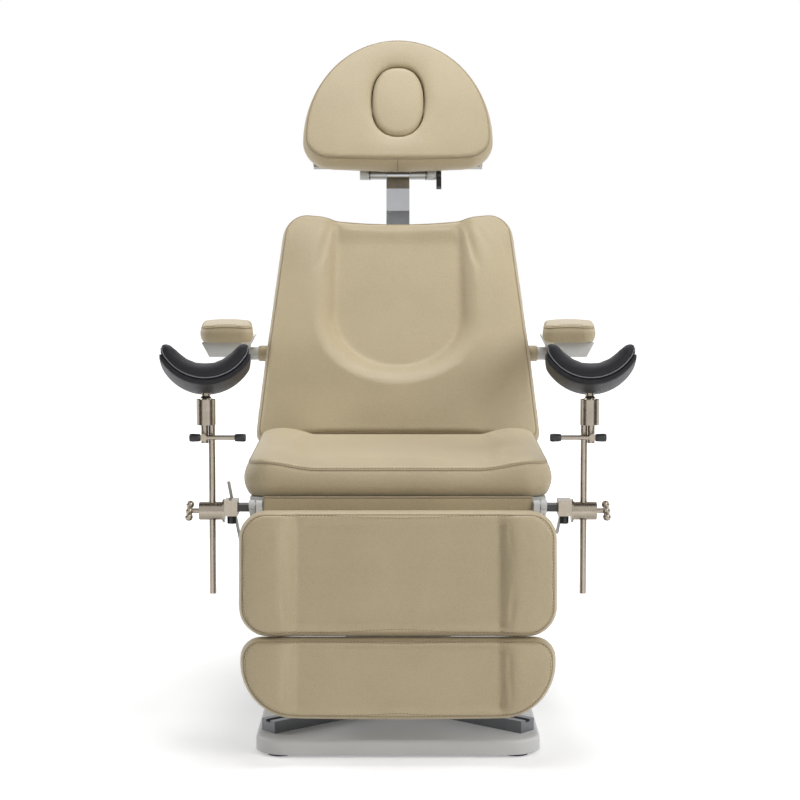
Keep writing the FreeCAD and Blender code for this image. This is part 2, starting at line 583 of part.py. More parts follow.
keep("back_rails", group("BackRails", [back_rail(side_name, side) for side_name, side in SIDES]))


def back_board():
    """A board that follows the pad's taper."""
    inset = dim("back_board_inset")
    low, top = dim("back_start") + inset, dim("back_start") + dim("back_length") - inset
    corners = [(dim("back_low_half") - inset, low), (dim("back_top_half") - inset, top)]
    outline = [Vector(x, y, 0) for x, y in corners] + [Vector(-x, y, 0) for x, y in reversed(corners)]
    board = Part.Face(Part.makePolygon(outline + outline[:1])).extrude(Vector(0, 0, dim("back_board_thick")))
    board.translate(Vector(0, 0, dim("back_face") - dim("back_thick") - dim("back_board_thick")))
    upright = [edge for edge in board.Edges if edge.BoundBox.ZLength > inset / 2]
    return board.makeFillet(2 * inset, upright)


keep("back_board", feature("BackBoard", back_board(), BACK))

# The lever points straight across the drive rod halfway through the back's swing.
LEVER_LEAN = "(back_drive_angle - back_swing) * 1deg"
LEVER_PIN = (f"lever_length * sin({LEVER_LEAN})", f"-lever_length * cos({LEVER_LEAN})")
YOKE_X = "back_drive_x - yoke_thick / 2"
LEVER_X = "back_drive_x + yoke_thick / 2 + yoke_gap"
torque_tube = cylinder("TorqueTube", BACK, (f"-({BACK_ARM_X})", "0", "0"), "tube_radius", f"2 * ({BACK_ARM_X})", "x")
lever = box("BackLeverPlate", BACK, (LEVER_X, "-lever_edge", "-lever_length - lever_edge"),
            ("lever_thick", "back_start - plate_gap + lever_edge", "lever_length + lever_edge"))
lever_pin = cylinder("BackLeverPin", BACK, (YOKE_X, *LEVER_PIN), "yoke_pin_radius",
                     "yoke_thick + yoke_gap + lever_thick / 2", "x")
keep("back_lever", fuse("BackLever", [torque_tube, lever, lever_pin]))

SOCKET_LOW = f"{BOARD_BACK} - bar_thick - 2 * bar_fit - socket_wall"
socket_block = box("HeadSocketBlock", BACK, ("-bar_width / 2 - bar_fit - socket_wall", "socket_low", SOCKET_LOW),
                   ("bar_width + 2 * bar_fit + 2 * socket_wall", "socket_length",
                    "bar_thick + 2 * bar_fit + socket_wall"))
socket_slot = box("HeadSocketSlot", BACK, ("-bar_width / 2 - bar_fit", "socket_low", f"{SOCKET_LOW} + socket_wall"),
                  ("bar_width + 2 * bar_fit", "socket_length", "bar_thick + 2 * bar_fit"))
keep("head_socket", cut("HeadSocket", socket_block, [socket_slot]))


# Drives: a tube with its motor, fixed to the seat, and a rod whose slotted yoke moves the lever's pin

def drive_rod(name, section, yoke_x, pin_y, levels, toward):
    """A rod and slotted yoke in a drive's frame; toward is the side on which the housing lies."""
    low, high = levels
    yoke_low = f"({low}) - yoke_pin_radius - yoke_wall"
    tall = f"({high}) - ({low}) + 2 * yoke_pin_radius + 2 * yoke_wall"
    block = box(name + "Yoke", section, (yoke_x, f"{pin_y} - yoke_slot / 2 - yoke_wall", yoke_low),
                ("yoke_thick", "yoke_slot + 2 * yoke_wall", tall))
    slot = box(name + "Slot", section, (yoke_x, f"{pin_y} - yoke_slot / 2", f"({low}) - yoke_pin_radius - yoke_gap"),
               ("yoke_thick", "yoke_slot", f"({high}) - ({low}) + 2 * yoke_pin_radius + 2 * yoke_gap"))
    length = "back_rod_length" if toward < 0 else "leg_rod_length"
    face = f"{pin_y} + {toward} * (yoke_slot / 2 + yoke_wall / 2)"
    start = f"{face} - {length}" if toward < 0 else face
    rod = cylinder(name + "Shaft", section, (f"{yoke_x} + yoke_thick / 2", start, f"(({low}) + ({high})) / 2"),
                   "rod_radius", length, "y")
    return cut(name, fuse(name + "Solid", [block, rod]), [slot])


BACK_DRIVE = ("seat_y + back_hinge_y", "back_hinge_z", "back_drive_angle")
BACK_LEVELS = ("-lever_length", "-lever_length * cos(back_swing * 1deg)")
BACK_PIN_Y = "lever_length * sin(back_lever_tilt * 1deg)"
BACK_AXIS = f"(({BACK_LEVELS[0]}) + ({BACK_LEVELS[1]})) / 2"
keep("back_rod", drive_rod("BackRod", BACK_DRIVE, YOKE_X, BACK_PIN_Y, BACK_LEVELS, -1))

housing_start = f"{BACK_PIN_Y} - back_mouth - back_drive_length"
back_housing = cylinder("BackHousing", BACK_DRIVE, ("back_drive_x", housing_start, BACK_AXIS), "drive_radius",
                        "back_drive_length", "y")
back_bore = cylinder("BackHousingBore", BACK_DRIVE, ("back_drive_x", f"{housing_start} + drive_radius", BACK_AXIS),
                     "rod_radius + rod_gap", "back_drive_length", "y")
back_motor = box("BackMotor", BACK_DRIVE, ("back_drive_x - drive_radius", housing_start,
                                           f"{BACK_AXIS} - motor_size + plate_gap"),
                 ("2 * drive_radius", "motor_length", "motor_size - drive_radius"))
back_bracket = box("BackBracket", SEAT, ("back_drive_x", "rail_rear - bracket_depth", RAIL_LOW),
                   ("rail_half - rail_width - back_drive_x", "bracket_depth", "bracket_height"))
keep("back_drive", cut("BackDrive", fuse("BackDriveSolid", [back_housing, back_motor, back_bracket]), [back_bore]))

LEG_DRIVE = ("seat_y + leg_hinge_y", "leg_hinge_z", "0")
LEG_LEVELS = ("-leg_lever_length", "-leg_lever_length * cos(leg_swing * 1deg)")
LEG_PIN_Y = "leg_lever_length * sin(leg_swing * 1deg)"
LEG_AXIS = f"(({LEG_LEVELS[0]}) + ({LEG_LEVELS[1]})) / 2"
LEG_YOKE_X = "leg_drive_x - yoke_thick / 2"
keep("leg_rod", drive_rod("LegRod", LEG_DRIVE, LEG_YOKE_X, LEG_PIN_Y, LEG_LEVELS, 1))

leg_housing_start = f"{LEG_PIN_Y} + leg_mouth"
leg_housing = cylinder("LegHousing", LEG_DRIVE, ("leg_drive_x", leg_housing_start, LEG_AXIS), "drive_radius",
                       "leg_drive_length", "y")
leg_bore = cylinder("LegHousingBore", LEG_DRIVE, ("leg_drive_x", leg_housing_start, LEG_AXIS),
                    "rod_radius + rod_gap", "leg_drive_length - drive_radius", "y")
leg_motor = box("LegMotor", SEAT, ("leg_drive_x - motor_size / 2", "column_y - motor_length / 2", RAIL_LOW),
                ("motor_size", "motor_length", "motor_size"))
keep("leg_drive", cut("LegDrive", fuse("LegDriveSolid", [leg_housing, leg_motor]), [leg_bore]))


# Legs: two rails on the leg hinge with guides for the foot slides, a board, the drive lever, then the foot

LEG_ARM_X = "rail_half - arm_plate - plate_gap - arm_plate"
LEG_BOARD_TOP = "leg_board_low + leg_board_thick"
SLIDE_Z = "leg_board_low - leg_rail_size / 2"


def leg_rail(side_name, side):
    """A square rail behind the leg board, bored for the foot slide, with the arm on the leg hinge."""
    rail_x = signed(side, "leg_rail_half - leg_rail_size", "leg_rail_size")
    tube = box(f"LegTube_{side_name}", LEG, (rail_x, "-leg_start - leg_length", "leg_board_low - leg_rail_size"),
               ("leg_rail_size", "leg_length - leg_rail_size", "leg_rail_size"))
    arm = box(f"LegArm_{side_name}", LEG, (signed(side, "leg_rail_half - leg_rail_size",
                                                  f"{LEG_ARM_X} + arm_plate - leg_rail_half + leg_rail_size"),
                                           "-leg_start - 2 * leg_rail_size", "-leg_eye"),
              (f"{LEG_ARM_X} + arm_plate - leg_rail_half + leg_rail_size", "leg_rail_size", "2 * leg_eye"))
    plate = box(f"LegPlate_{side_name}", LEG, (signed(side, LEG_ARM_X, "arm_plate"), "-leg_start - leg_rail_size",
                                               "-leg_eye"),
                ("arm_plate", "leg_start + leg_rail_size", "2 * leg_eye"))
    eye = cylinder(f"LegArmEye_{side_name}", LEG, (signed(side, LEG_ARM_X, "arm_plate"), "0", "0"), "leg_eye",
                   "arm_plate", "x")
    bore = cylinder(f"LegArmBore_{side_name}", LEG, (signed(side, LEG_ARM_X, "arm_plate"), "0", "0"),
                    "leg_pin_radius + pin_gap", "arm_plate", "x")
    guide = cylinder(f"LegGuide_{side_name}", LEG, (f"{side} * (leg_rail_half - leg_rail_size / 2)",
                                                    "-leg_start - leg_length", SLIDE_Z),
                     "slide_radius + slide_gap", "leg_length", "y")
    return cut(f"LegRail_{side_name}", fuse(f"LegRailSolid_{side_name}", [tube, arm, plate, eye]), [bore, guide])


keep("leg_rails", group("LegRails", [leg_rail(side_name, side) for side_name, side in SIDES]))
keep("leg_board", box("LegBoard", LEG, ("-leg_half + leg_board_inset", "-leg_start - leg_length + leg_board_inset",
                                        "leg_board_low"),
                      ("2 * leg_half - 2 * leg_board_inset", "leg_length - 2 * leg_board_inset", "leg_board_thick")))

LEG_LEVER_X = "leg_drive_x - yoke_thick / 2 - yoke_gap - lever_thick"
leg_tube = cylinder("LegTube", LEG, (f"-({LEG_ARM_X})", "-leg_tube_at", "0"), "leg_tube_radius",
                    f"2 * ({LEG_ARM_X})", "x")
leg_plate = box("LegLeverPlate", LEG, (LEG_LEVER_X, "-leg_lever_length", "-leg_lever_length + 2 * yoke_gap"),
                ("lever_thick", "leg_lever_length - leg_tube_at + yoke_gap + 1", "leg_lever_length"))
leg_pin = cylinder("LegLeverPin", LEG, (f"{LEG_LEVER_X} + lever_thick / 2", f"-({LEG_PIN_Y})", f"{LEG_LEVELS[1]}"),
                   "yoke_pin_radius", "lever_thick / 2 + yoke_gap + yoke_thick", "x")
keep("leg_lever", fuse("LegLever", [leg_tube, leg_plate, leg_pin]))

slides = [cylinder(f"FootSlide_{side_name}", LEG, (f"{side} * (leg_rail_half - leg_rail_size / 2)",
                                                   f"-({FOOT_START}) - foot_pad_length + foot_end_round", SLIDE_Z),
                   "slide_radius", "slide_length", "y") for side_name, side in SIDES]
foot_bar = box("FootBar", LEG, ("-leg_rail_half", f"-({FOOT_START}) - foot_pad_length + foot_end_round - leg_rail_size",
                                "leg_board_low - leg_rail_size"),
               ("2 * leg_rail_half", "leg_rail_size", "leg_rail_size"))
keep("foot_frame", fuse("FootFrame", slides + [foot_bar]))
keep("foot_board", box("FootBoard", LEG, ("-leg_rail_half", f"-({FOOT_START}) - foot_pad_length + leg_board_inset",
                                          "leg_board_low"),
                       ("2 * leg_rail_half", "foot_pad_length - 2 * leg_board_inset", "leg_board_thick")))


# Head: a bent flat bar in the socket, the bracket hinged on its end, the board, and the release lever

def head_bar():
    """The bar's bent side profile, extruded across, with the knuckle on its upper end."""
    back = dim("back_face") - dim("back_thick") - dim("back_board_thick") - dim("bar_fit")
    thick, hinge_b, hinge_a = dim("bar_thick"), dim("head_hinge_b"), dim("head_hinge_a")
    front_line = [(dim("bar_low"), back), (dim("bar_bend_top") - dim("bend_run"), back),
                  (dim("bar_bend_top"), hinge_a + thick / 2), (hinge_b, hinge_a + thick / 2)]
    outline = front_line + [(along, off - thick) for along, off in reversed(front_line)]
    points = [Vector(-dim("bar_width") / 2, along, off) for along, off in outline]
    bar = Part.Face(Part.makePolygon(points + points[:1])).extrude(Vector(dim("bar_width"), 0, 0))
    end = Vector(-dim("bar_width") / 2, hinge_b, hinge_a)
    across = Vector(1, 0, 0)
    knuckle = Part.makeCylinder(dim("head_knuckle"), dim("bar_width"), end, across)
    bore = Part.makeCylinder(dim("head_pin_radius") + dim("pin_gap"), dim("bar_width"), end, across)
    return bar.fuse(knuckle).cut(bore).removeSplitter()


keep("head_bar", feature("HeadBar", head_bar(), BACK))

HEAD_SPAN = "head_bracket_half - bar_width / 2 - knuckle_gap"
knuckles = []
for side_name, side in SIDES:
    start = signed(side, "bar_width / 2 + knuckle_gap", HEAD_SPAN)
    knuckles.append(cylinder(f"HeadKnuckle_{side_name}", BACK, (start, "head_hinge_b", "head_hinge_a"),
                             "head_knuckle", HEAD_SPAN, "x"))
head_pin = cylinder("HeadPin", BACK, ("-head_bracket_half", "head_hinge_b", "head_hinge_a"), "head_pin_radius",
                    "2 * head_bracket_half", "x")
HEAD_BOARD_BACK = "back_face - head_thick - head_board_thick"
straps = [box(f"HeadStrap_{side_name}", BACK, (signed(side, "bar_width / 2 + knuckle_gap", HEAD_SPAN), "head_hinge_b",
                                               "head_hinge_a"),
              (HEAD_SPAN, "head_strap", f"{HEAD_BOARD_BACK} - head_hinge_a")) for side_name, side in SIDES]
keep("head_bracket", fuse("HeadBracket", knuckles + [head_pin] + straps))


def head_board():
    """A half oval board behind the head pad, open behind the pad's opening."""
    low = dim("head_start") + dim("head_board_rise")
    back = dim("back_face") - dim("head_thick") - dim("head_board_thick")
    half, reach = dim("head_board_half"), dim("head_length") - dim("head_wide_at") - dim("leg_board_inset")
    ring = Part.Ellipse(Vector(0, 0, 0), max(half, reach), min(half, reach)).toShape()
    disc = Part.Face(Part.Wire([ring]))
    if reach > half:
        disc.rotate(Vector(0, 0, 0), Vector(0, 0, 1), 90)
    disc.translate(Vector(0, dim("head_start") + dim("head_wide_at"), back))
    board = disc.extrude(Vector(0, 0, dim("head_board_thick")))
    frame = Part.makeBox(2 * half, 2 * reach, dim("head_thick"), Vector(-half, low, back))
    return board.common(frame).cut(head_hole)


keep("head_board", feature("HeadBoard", head_board(), BACK))
lever_hub = cylinder("HeadLeverHub", BACK, ("head_lever_x", "head_hinge_b", "head_hinge_a"), "head_knuckle",
                     "head_lever_width", "x")
lever_blade = box("HeadLeverBlade", BACK, ("head_lever_x", "head_hinge_b - head_lever_length",
                                           "head_hinge_a - head_lever_thick / 2"),
                  ("head_lever_width", "head_lever_length", "head_lever_thick"))
lever_stub = cylinder("HeadLeverStub", BACK, ("head_bracket_half", "head_hinge_b", "head_hinge_a"),
                      "head_pin_radius - plate_gap", "head_lever_x - head_bracket_half", "x")
keep("head_lever", fuse("HeadLever", [lever_hub, lever_blade, lever_stub]))


# Arms: a padded rest on a bracket that turns on an axle through the back rail's outer face

def arm_pad(side):
    """A rounded bar whose far end stands further out than its front."""
    length, low = dim("arm_length"), dim("arm_low")
    splay = math.tan(math.radians(dim("arm_splay")))
    wires = []
    for at in rounded_stations(length, dim("arm_round"), dim("arm_round"), 2):
        half = dim("arm_width") / 2 - end_inset(at, length, dim("arm_round"), dim("arm_round"))
        high = low + dim("arm_thick") - drawn_in(at, length, dim("head_edge_drop"))
        wire = pad_profile(dim("arm_front") + at, half, low, high)
        wire.translate(Vector(side * splay * at, 0, 0))
        wires.append(wire)
    return pad_solid(wires)


ARM_X = "arm_inner + arm_width / 2 + arm_length / 2 * tan(arm_splay * 1deg)"
PIVOT_Y = "back_hinge_y + arm_pivot_b * cos(back_angle * 1deg) - arm_pivot_a * sin(back_angle * 1deg)"
PIVOT_Z = "back_hinge_z + arm_pivot_b * sin(back_angle * 1deg) + arm_pivot_a * cos(back_angle * 1deg)"
for side_name, side in SIDES:
    pad = feature(f"ArmPad_{side_name}", arm_pad(side), SEAT)
    bind(pad, "Placement.Base.x", f"{side} * (arm_inner + arm_width / 2)")
    keep(f"arm_pad_{side_name}", pad)
    beam = doc.addObject("Part::Wedge", f"ArmBeam_{side_name}")
    for prop, text in (("Xmin", "-arm_bracket_low / 2"), ("Xmax", "arm_bracket_low / 2"), ("Ymin", "0"),
                       ("Ymax", "arm_bracket_height"), ("Zmin", "0"),
                       ("Zmax", f"{PIVOT_Y} - arm_front - arm_bracket_inset"), ("X2min", "-arm_bracket_width / 2"),
                       ("X2max", "arm_bracket_width / 2"), ("Z2min", "0"),
                       ("Z2max", f"{PIVOT_Y} - arm_front - arm_bracket_inset")):
        bind(beam, prop, text)
    place(beam, SEAT, (f"{side} * ({ARM_X})", PIVOT_Y, "arm_low - arm_bracket_height"))
    beam.Placement.Rotation = Rotation(Vector(1, 0, 0), 90)
    beam.setExpression("Placement.Rotation.Angle", None)
    boss_x = signed(side, f"{ARM_X} - arm_bracket_low / 2", "arm_bracket_low")
    boss = cylinder(f"ArmBoss_{side_name}", SEAT, (boss_x, PIVOT_Y, PIVOT_Z), "arm_boss_radius",
                    "arm_bracket_low", "x")
    AXLE_IN = f"{BACK_ARM_X} + arm_plate + seat_clear"
    AXLE_LONG = f"{ARM_X} - ({AXLE_IN})"
    axle = cylinder(f"ArmAxle_{side_name}", SEAT, (signed(side, AXLE_IN, AXLE_LONG), PIVOT_Y, PIVOT_Z),
                    "arm_axle_radius", AXLE_LONG, "x")
    keep(f"arm_bracket_{side_name}", fuse(f"ArmBracket_{side_name}", [beam, boss, axle]))


# Leg supports: on each end of the cross bar a clamp block, a rod clamp, the rod, a ball socket and the cup

CLAMP_X = "block_inner + block_width"
SOCKET_TOP = "socket_z + socket_height"
BALL_Z = f"{SOCKET_TOP} - ball_sink"
STUB_X = "rod_x + stirrup_radius + stub_radius + stub_gap"
CUP = ("seat_y + bar_y", BALL_Z, "cup_tilt")
KNOB = ("seat_y + bar_y", "bar_z", "knob_turn")


def sphere(name, section, centre, radius):
    thing = doc.addObject("Part::Sphere", name)
    bind(thing, "Radius", radius)
    return place(thing, section, centre)


def clamp_block(side_name, side):
    """A block that the cross bar passes through, tapped from below for its screw."""
    solid = box(f"BlockSolid_{side_name}", SEAT, (signed(side, "block_inner", "block_width"),
                                                  "bar_y - block_depth / 2", "bar_z - block_drop"),
                ("block_width", "block_depth", "block_height"))
    slot = box(f"BlockSlot_{side_name}", SEAT, (signed(side, "block_inner", "block_width"), "bar_y - bar_depth / 2",
                                                "bar_z"), ("block_width", "bar_depth", "bar_height"))
    tap = cylinder(f"BlockTap_{side_name}", SEAT, (f"{side} * (block_inner + block_width / 2)", "bar_y",
                                                   "bar_z - block_drop"),
                   "screw_radius + pin_gap", "block_drop", "z")
    return cut(f"ClampBlock_{side_name}", solid, [slot, tap])


def clamp_screw(side_name, side):
    """The screw under a clamp block and its knob."""
    middle = f"{side} * (block_inner + block_width / 2)"
    knob_low = "bar_z - block_drop - screw_neck - screw_knob_height"
    shank = cylinder(f"ScrewShank_{side_name}", SEAT, (middle, "bar_y", knob_low), "screw_radius",
                     "block_drop + screw_neck + screw_knob_height - seat_clear", "z")
    knob = cylinder(f"ScrewKnob_{side_name}", SEAT, (middle, "bar_y", knob_low), "screw_knob_radius",
                    "screw_knob_height", "z")
    return fuse(f"ClampScrew_{side_name}", [shank, knob])


def rod_clamp(side_name, side):
    """A round clamp body that turns against the block, bored across for the rod and along for its knob."""
    flange = cylinder(f"ClampFlange_{side_name}", SEAT, (signed(side, f"{CLAMP_X} + seat_clear", "flange_thick"),
                                                         "bar_y", "bar_z"), "flange_radius", "flange_thick", "x")
    body = cylinder(f"ClampBody_{side_name}", SEAT, (signed(side, f"{CLAMP_X} + seat_clear", "clamp_length"),
                                                     "bar_y", "bar_z"), "clamp_radius", "clamp_length", "x")
    rod_bore = cylinder(f"ClampRodBore_{side_name}", SEAT, (f"{side} * rod_x", "bar_y", "bar_z - 2 * clamp_radius"),
                        "stirrup_radius + pin_gap", "4 * clamp_radius", "z")
    knob_bore = cylinder(f"ClampKnobBore_{side_name}", SEAT, (signed(side, "rod_x", "clamp_length"), "bar_y", "bar_z"),
                         "knob_stem + pin_gap", "clamp_length", "x")
    return cut(f"RodClamp_{side_name}", fuse(f"RodClampSolid_{side_name}", [flange, body]), [rod_bore, knob_bore])


def rod_knob(side_name, side):
    """The clamp's screw with a cross bar and two balls."""
    start = "rod_x + stirrup_radius + plate_gap"
    tip = f"{CLAMP_X} + clamp_length + knob_reach"
    stem = cylinder(f"KnobStem_{side_name}", KNOB, (signed(side, start, f"{tip} - ({start})"), "0", "0"), "knob_stem",
                    f"{tip} - ({start})", "x")
    bar = cylinder(f"KnobBar_{side_name}", KNOB, (f"{side} * ({tip})", "-knob_bar / 2", "0"), "knob_bar_radius",
                   "knob_bar", "y")
    balls = [sphere(f"KnobBall_{side_name}_{end}", KNOB, (f"{side} * ({tip})", f"{way} * knob_bar / 2", "0"), "knob_ball")
             for end, way in (("first", -1), ("second", 1))]
    hub = sphere(f"KnobHub_{side_name}", KNOB, (f"{side} * ({tip})", "0", "0"), "knob_ball")
    return fuse(f"RodKnob_{side_name}", [stem, bar, hub] + balls)


def stirrup_rod(side_name, side):
    """The rod with the ball socket on its top, open above, and the stub that the socket's handle screws into."""
    rod = cylinder(f"StirrupRodBar_{side_name}", SEAT, (f"{side} * rod_x", "bar_y", "stirrup_low"), "stirrup_radius",
                   "socket_z + plate_gap - stirrup_low", "z")
    can = cylinder(f"SocketCan_{side_name}", SEAT, (f"{side} * socket_x", "bar_y", "socket_z"), "socket_radius",
                   "socket_height", "z")
    stub = cylinder(f"SocketStub_{side_name}", SEAT, (f"{side} * ({STUB_X})", "bar_y", "socket_z - stub_length"),
                    "stub_radius", "stub_length + plate_gap", "z")
    bore = cylinder(f"SocketBore_{side_name}", SEAT, (f"{side} * socket_x", "bar_y",
                                                      f"{BALL_Z} - ball_radius - seat_clear"),
                    "ball_radius + ball_gap", "2 * ball_radius", "z")
    screw = cylinder(f"SocketScrewHole_{side_name}", SEAT, (f"{side} * ({STUB_X})", "bar_y - 2 * stub_radius", "handle_z"),
                     "screw_radius + pin_gap", "2 * stub_radius", "y")
    return cut(f"StirrupRod_{side_name}", fuse(f"StirrupRodSolid_{side_name}", [rod, can, stub]), [bore, screw])


def socket_handle(side_name, side):
    """The cross handle that tightens the socket, turning in front of the rod."""
    front = "bar_y - socket_radius - handle_clear - handle_radius"
    hub_end = "bar_y - stub_radius - seat_clear"
    hub = cylinder(f"HandleHub_{side_name}", SEAT, (f"{side} * ({STUB_X})", f"{front} - handle_radius", "handle_z"),
                   "hub_radius", f"{hub_end} - ({front}) + handle_radius", "y")
    screw = cylinder(f"HandleScrew_{side_name}", SEAT, (f"{side} * ({STUB_X})", front, "handle_z"), "screw_radius",
                     f"bar_y - ({front}) - seat_clear", "y")
    bar = cylinder(f"HandleBar_{side_name}", SEAT, (signed(side, f"{STUB_X} - handle_inner", "handle_inner + handle_outer"),
                                                    front, "handle_z"), "handle_radius",
                   "handle_inner + handle_outer", "x")
    return fuse(f"SocketHandle_{side_name}", [hub, screw, bar])


def half_ring(inner, outer, length, centre_z):
    """An open trough along Y: a ring sector of the cup's span about a centre above its bottom."""
    span = math.radians(dim("cup_span"))

    def on_ring(radius, angle):
        return Vector(radius * math.sin(angle), -length / 2, centre_z - radius * math.cos(angle))

    edges = []
    for radius, first, last in ((outer, -span, 0.0), (outer, 0.0, span), (inner, span, 0.0), (inner, 0.0, -span)):
        arc = Part.Arc(on_ring(radius, first), on_ring(radius, (first + last) / 2), on_ring(radius, last))
        edges.append(arc.toShape())
    edges.insert(2, Part.LineSegment(on_ring(outer, span), on_ring(inner, span)).toShape())
    edges.append(Part.LineSegment(on_ring(inner, -span), on_ring(outer, -span)).toShape())
    return Part.Face(Part.Wire(edges)).extrude(Vector(0, length, 0))


def cup_pieces():
    """The cup's shell with its stem, hollowed for the ball, and its pad."""
    rise = dim("cup_z") - (dim("socket_z") + dim("socket_height") - dim("ball_sink"))
    pad_outer = dim("cup_inner") + dim("cup_pad_thick")
    outer = pad_outer + dim("cup_shell_thick")
    shell = half_ring(pad_outer, outer, dim("cup_depth"), rise + outer)
    stem = Part.makeCylinder(dim("stem_radius"), rise + dim("cup_shell_thick") / 2)
    hollow = Part.makeSphere(dim("ball_radius") + dim("seat_clear"))
    pad = half_ring(dim("cup_inner"), pad_outer, dim("cup_depth") + 2 * dim("cup_pad_over"), rise + outer)
    return shell.fuse(stem).cut(hollow).removeSplitter(), pad


def side_lever(side_name, side):
    """A leaning flat lever on a short axle beside the seat rail."""
    lean = math.tan(math.radians(dim("lever_lean")))
    x, sheet_thick, strip = dim("lever_x"), dim("lever_sheet"), dim("lever_strip")
    heights = (dim("lever_z") - dim(f"lever_down_{side_name}"), dim("lever_z") + dim(f"lever_up_{side_name}"))
    inner_line = [(x + lean * (height - dim("lever_z")), height) for height in heights]
    outline = inner_line + [(across + sheet_thick, height) for across, height in reversed(inner_line)]
    points = [Vector(side * across, dim("lever_y") - strip / 2, height) for across, height in outline]
    blade = Part.Face(Part.makePolygon(points + points[:1])).extrude(Vector(0, strip, 0))
    axle_start = dim("rail_half") + dim("seat_clear")
    axle = Part.makeCylinder(dim("lever_axle"), x + sheet_thick / 2 - axle_start,
                             Vector(side * axle_start, dim("lever_y"), dim("lever_z")), Vector(side, 0, 0))
    return feature(f"SideLever_{side_name}", blade.fuse(axle), SEAT)


for side_name, side in SIDES:
    keep(f"clamp_block_{side_name}", clamp_block(side_name, side))
    keep(f"clamp_screw_{side_name}", clamp_screw(side_name, side))
    keep(f"rod_clamp_{side_name}", rod_clamp(side_name, side))
    keep(f"rod_knob_{side_name}", rod_knob(side_name, side))
    keep(f"stirrup_rod_{side_name}", stirrup_rod(side_name, side))
    keep(f"socket_handle_{side_name}", socket_handle(side_name, side))
    keep(f"socket_ball_{side_name}", sphere(f"SocketBall_{side_name}", CUP, (f"{side} * socket_x", "0", "0"), "ball_radius"))
    for label, shape in zip(("cup_shell", "cup_pad"), cup_pieces()):
        piece = feature(f"{label}_{side_name}_solid", shape, CUP)
        bind(piece, "Placement.Base.x", f"{side} * socket_x")
        keep(f"{label}_{side_name}", piece)
    keep(f"side_lever_{side_name}", side_lever(side_name, side))

# Write the sub-parts once every one is sound

doc.recompute()
for thing in doc.Objects:
    if "Invalid" in thing.State or "Error" in thing.State:
        raise RuntimeError(f"{thing.Name} failed: {thing.State}")
os.makedirs("parts", exist_ok=True)
for thing in SUBPARTS:
    if thing.Shape.isNull() or not thing.Shape.isValid() or not thing.Shape.Solids:
        raise RuntimeError(f"{thing.Label} has no sound shape")
for thing in SUBPARTS:
    thing.Shape.exportStep(f"parts/{thing.Label}.step")
whole = Part.makeCompound([thing.Shape for thing in SUBPARTS]).BoundBox
print(f"{len(SUBPARTS)} sub-parts, X {whole.XMin:.1f} {whole.XMax:.1f}, Y {whole.YMin:.1f} {whole.YMax:.1f}, "
      f"Z {whole.ZMin:.1f} {whole.ZMax:.1f}")
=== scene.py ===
import json
import math

import bmesh
import bpy
import numpy as np
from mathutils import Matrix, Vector
from mathutils.bvhtree import BVHTree


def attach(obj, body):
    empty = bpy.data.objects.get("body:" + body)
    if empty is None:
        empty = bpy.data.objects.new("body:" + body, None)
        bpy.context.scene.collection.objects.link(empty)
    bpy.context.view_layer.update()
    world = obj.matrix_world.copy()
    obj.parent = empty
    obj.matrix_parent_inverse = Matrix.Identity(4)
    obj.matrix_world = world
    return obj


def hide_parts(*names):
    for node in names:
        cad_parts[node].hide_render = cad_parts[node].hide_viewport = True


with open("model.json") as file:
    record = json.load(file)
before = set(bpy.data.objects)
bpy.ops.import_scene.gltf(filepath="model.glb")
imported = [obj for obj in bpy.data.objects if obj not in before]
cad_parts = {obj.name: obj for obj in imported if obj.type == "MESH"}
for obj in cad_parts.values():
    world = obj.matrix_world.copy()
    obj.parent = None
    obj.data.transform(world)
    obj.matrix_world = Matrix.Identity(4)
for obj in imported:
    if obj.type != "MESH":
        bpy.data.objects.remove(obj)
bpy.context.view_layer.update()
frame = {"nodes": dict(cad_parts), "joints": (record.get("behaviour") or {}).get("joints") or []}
nodes = frame["nodes"]
jointAt = {joint["name"]: joint.get("pos_m") for joint in frame["joints"]}
scene = bpy.context.scene
sides = {"left": -1, "right": 1}
print("frame loaded:", len(nodes), "nodes")

# camera: straight on from the foot end, at the height of the backrest's upper half, tipped down
view = {
    "place": (0.0, -4.0787, 0.9748), "tip": 4.534, "yaw": -0.063, "focalPixels": 1869.2, "framePixels": 800,
    "sensor": 36.0}


def makeCamera():
    lens = bpy.data.cameras.new("camera")
    lens.sensor_width = view["sensor"]
    lens.lens = view["sensor"] * view["focalPixels"] / view["framePixels"]
    camera = bpy.data.objects.new("camera", lens)
    camera.location = view["place"]
    camera.rotation_euler = (math.radians(90 - view["tip"]), 0, math.radians(view["yaw"]))
    scene.collection.objects.link(camera)
    scene.camera = camera


makeCamera()
print("camera placed")

# the two turned sections, each with its hinge and its lean from level
turned = {"back": {"hinge": jointAt["back_recline"], "lean": 60.0},
          "leg": {"hinge": jointAt["leg_raise"], "lean": 84.0}}
seatMiddle = (0.0, -0.225, 0.0)


def joined(*parts):  # points from their coordinates, each an array or one value for all
    return np.stack(np.broadcast_arrays(*parts), axis=-1)


def turnAbout(points, section):  # across, along and off a section, turned about its hinge
    points = np.asarray(points, float)
    lean = math.radians(section["lean"])
    along = points[..., 1] * math.cos(lean) - points[..., 2] * math.sin(lean) + section["hinge"][1]
    up = points[..., 1] * math.sin(lean) + points[..., 2] * math.cos(lean) + section["hinge"][2]
    return joined(points[..., 0], along, up)


def toBack(points):
    return turnAbout(points, turned["back"])


def toLeg(points):
    return turnAbout(points, turned["leg"])


def toSeat(points):  # across, along from the seat's middle, and height
    return points + np.array(seatMiddle)


# mesh helpers
def unit(vectors):
    return vectors / np.linalg.norm(vectors, axis=-1, keepdims=True)


def smoothAll(mesh):
    mesh.polygons.foreach_set("use_smooth", np.full(len(mesh.polygons), True))


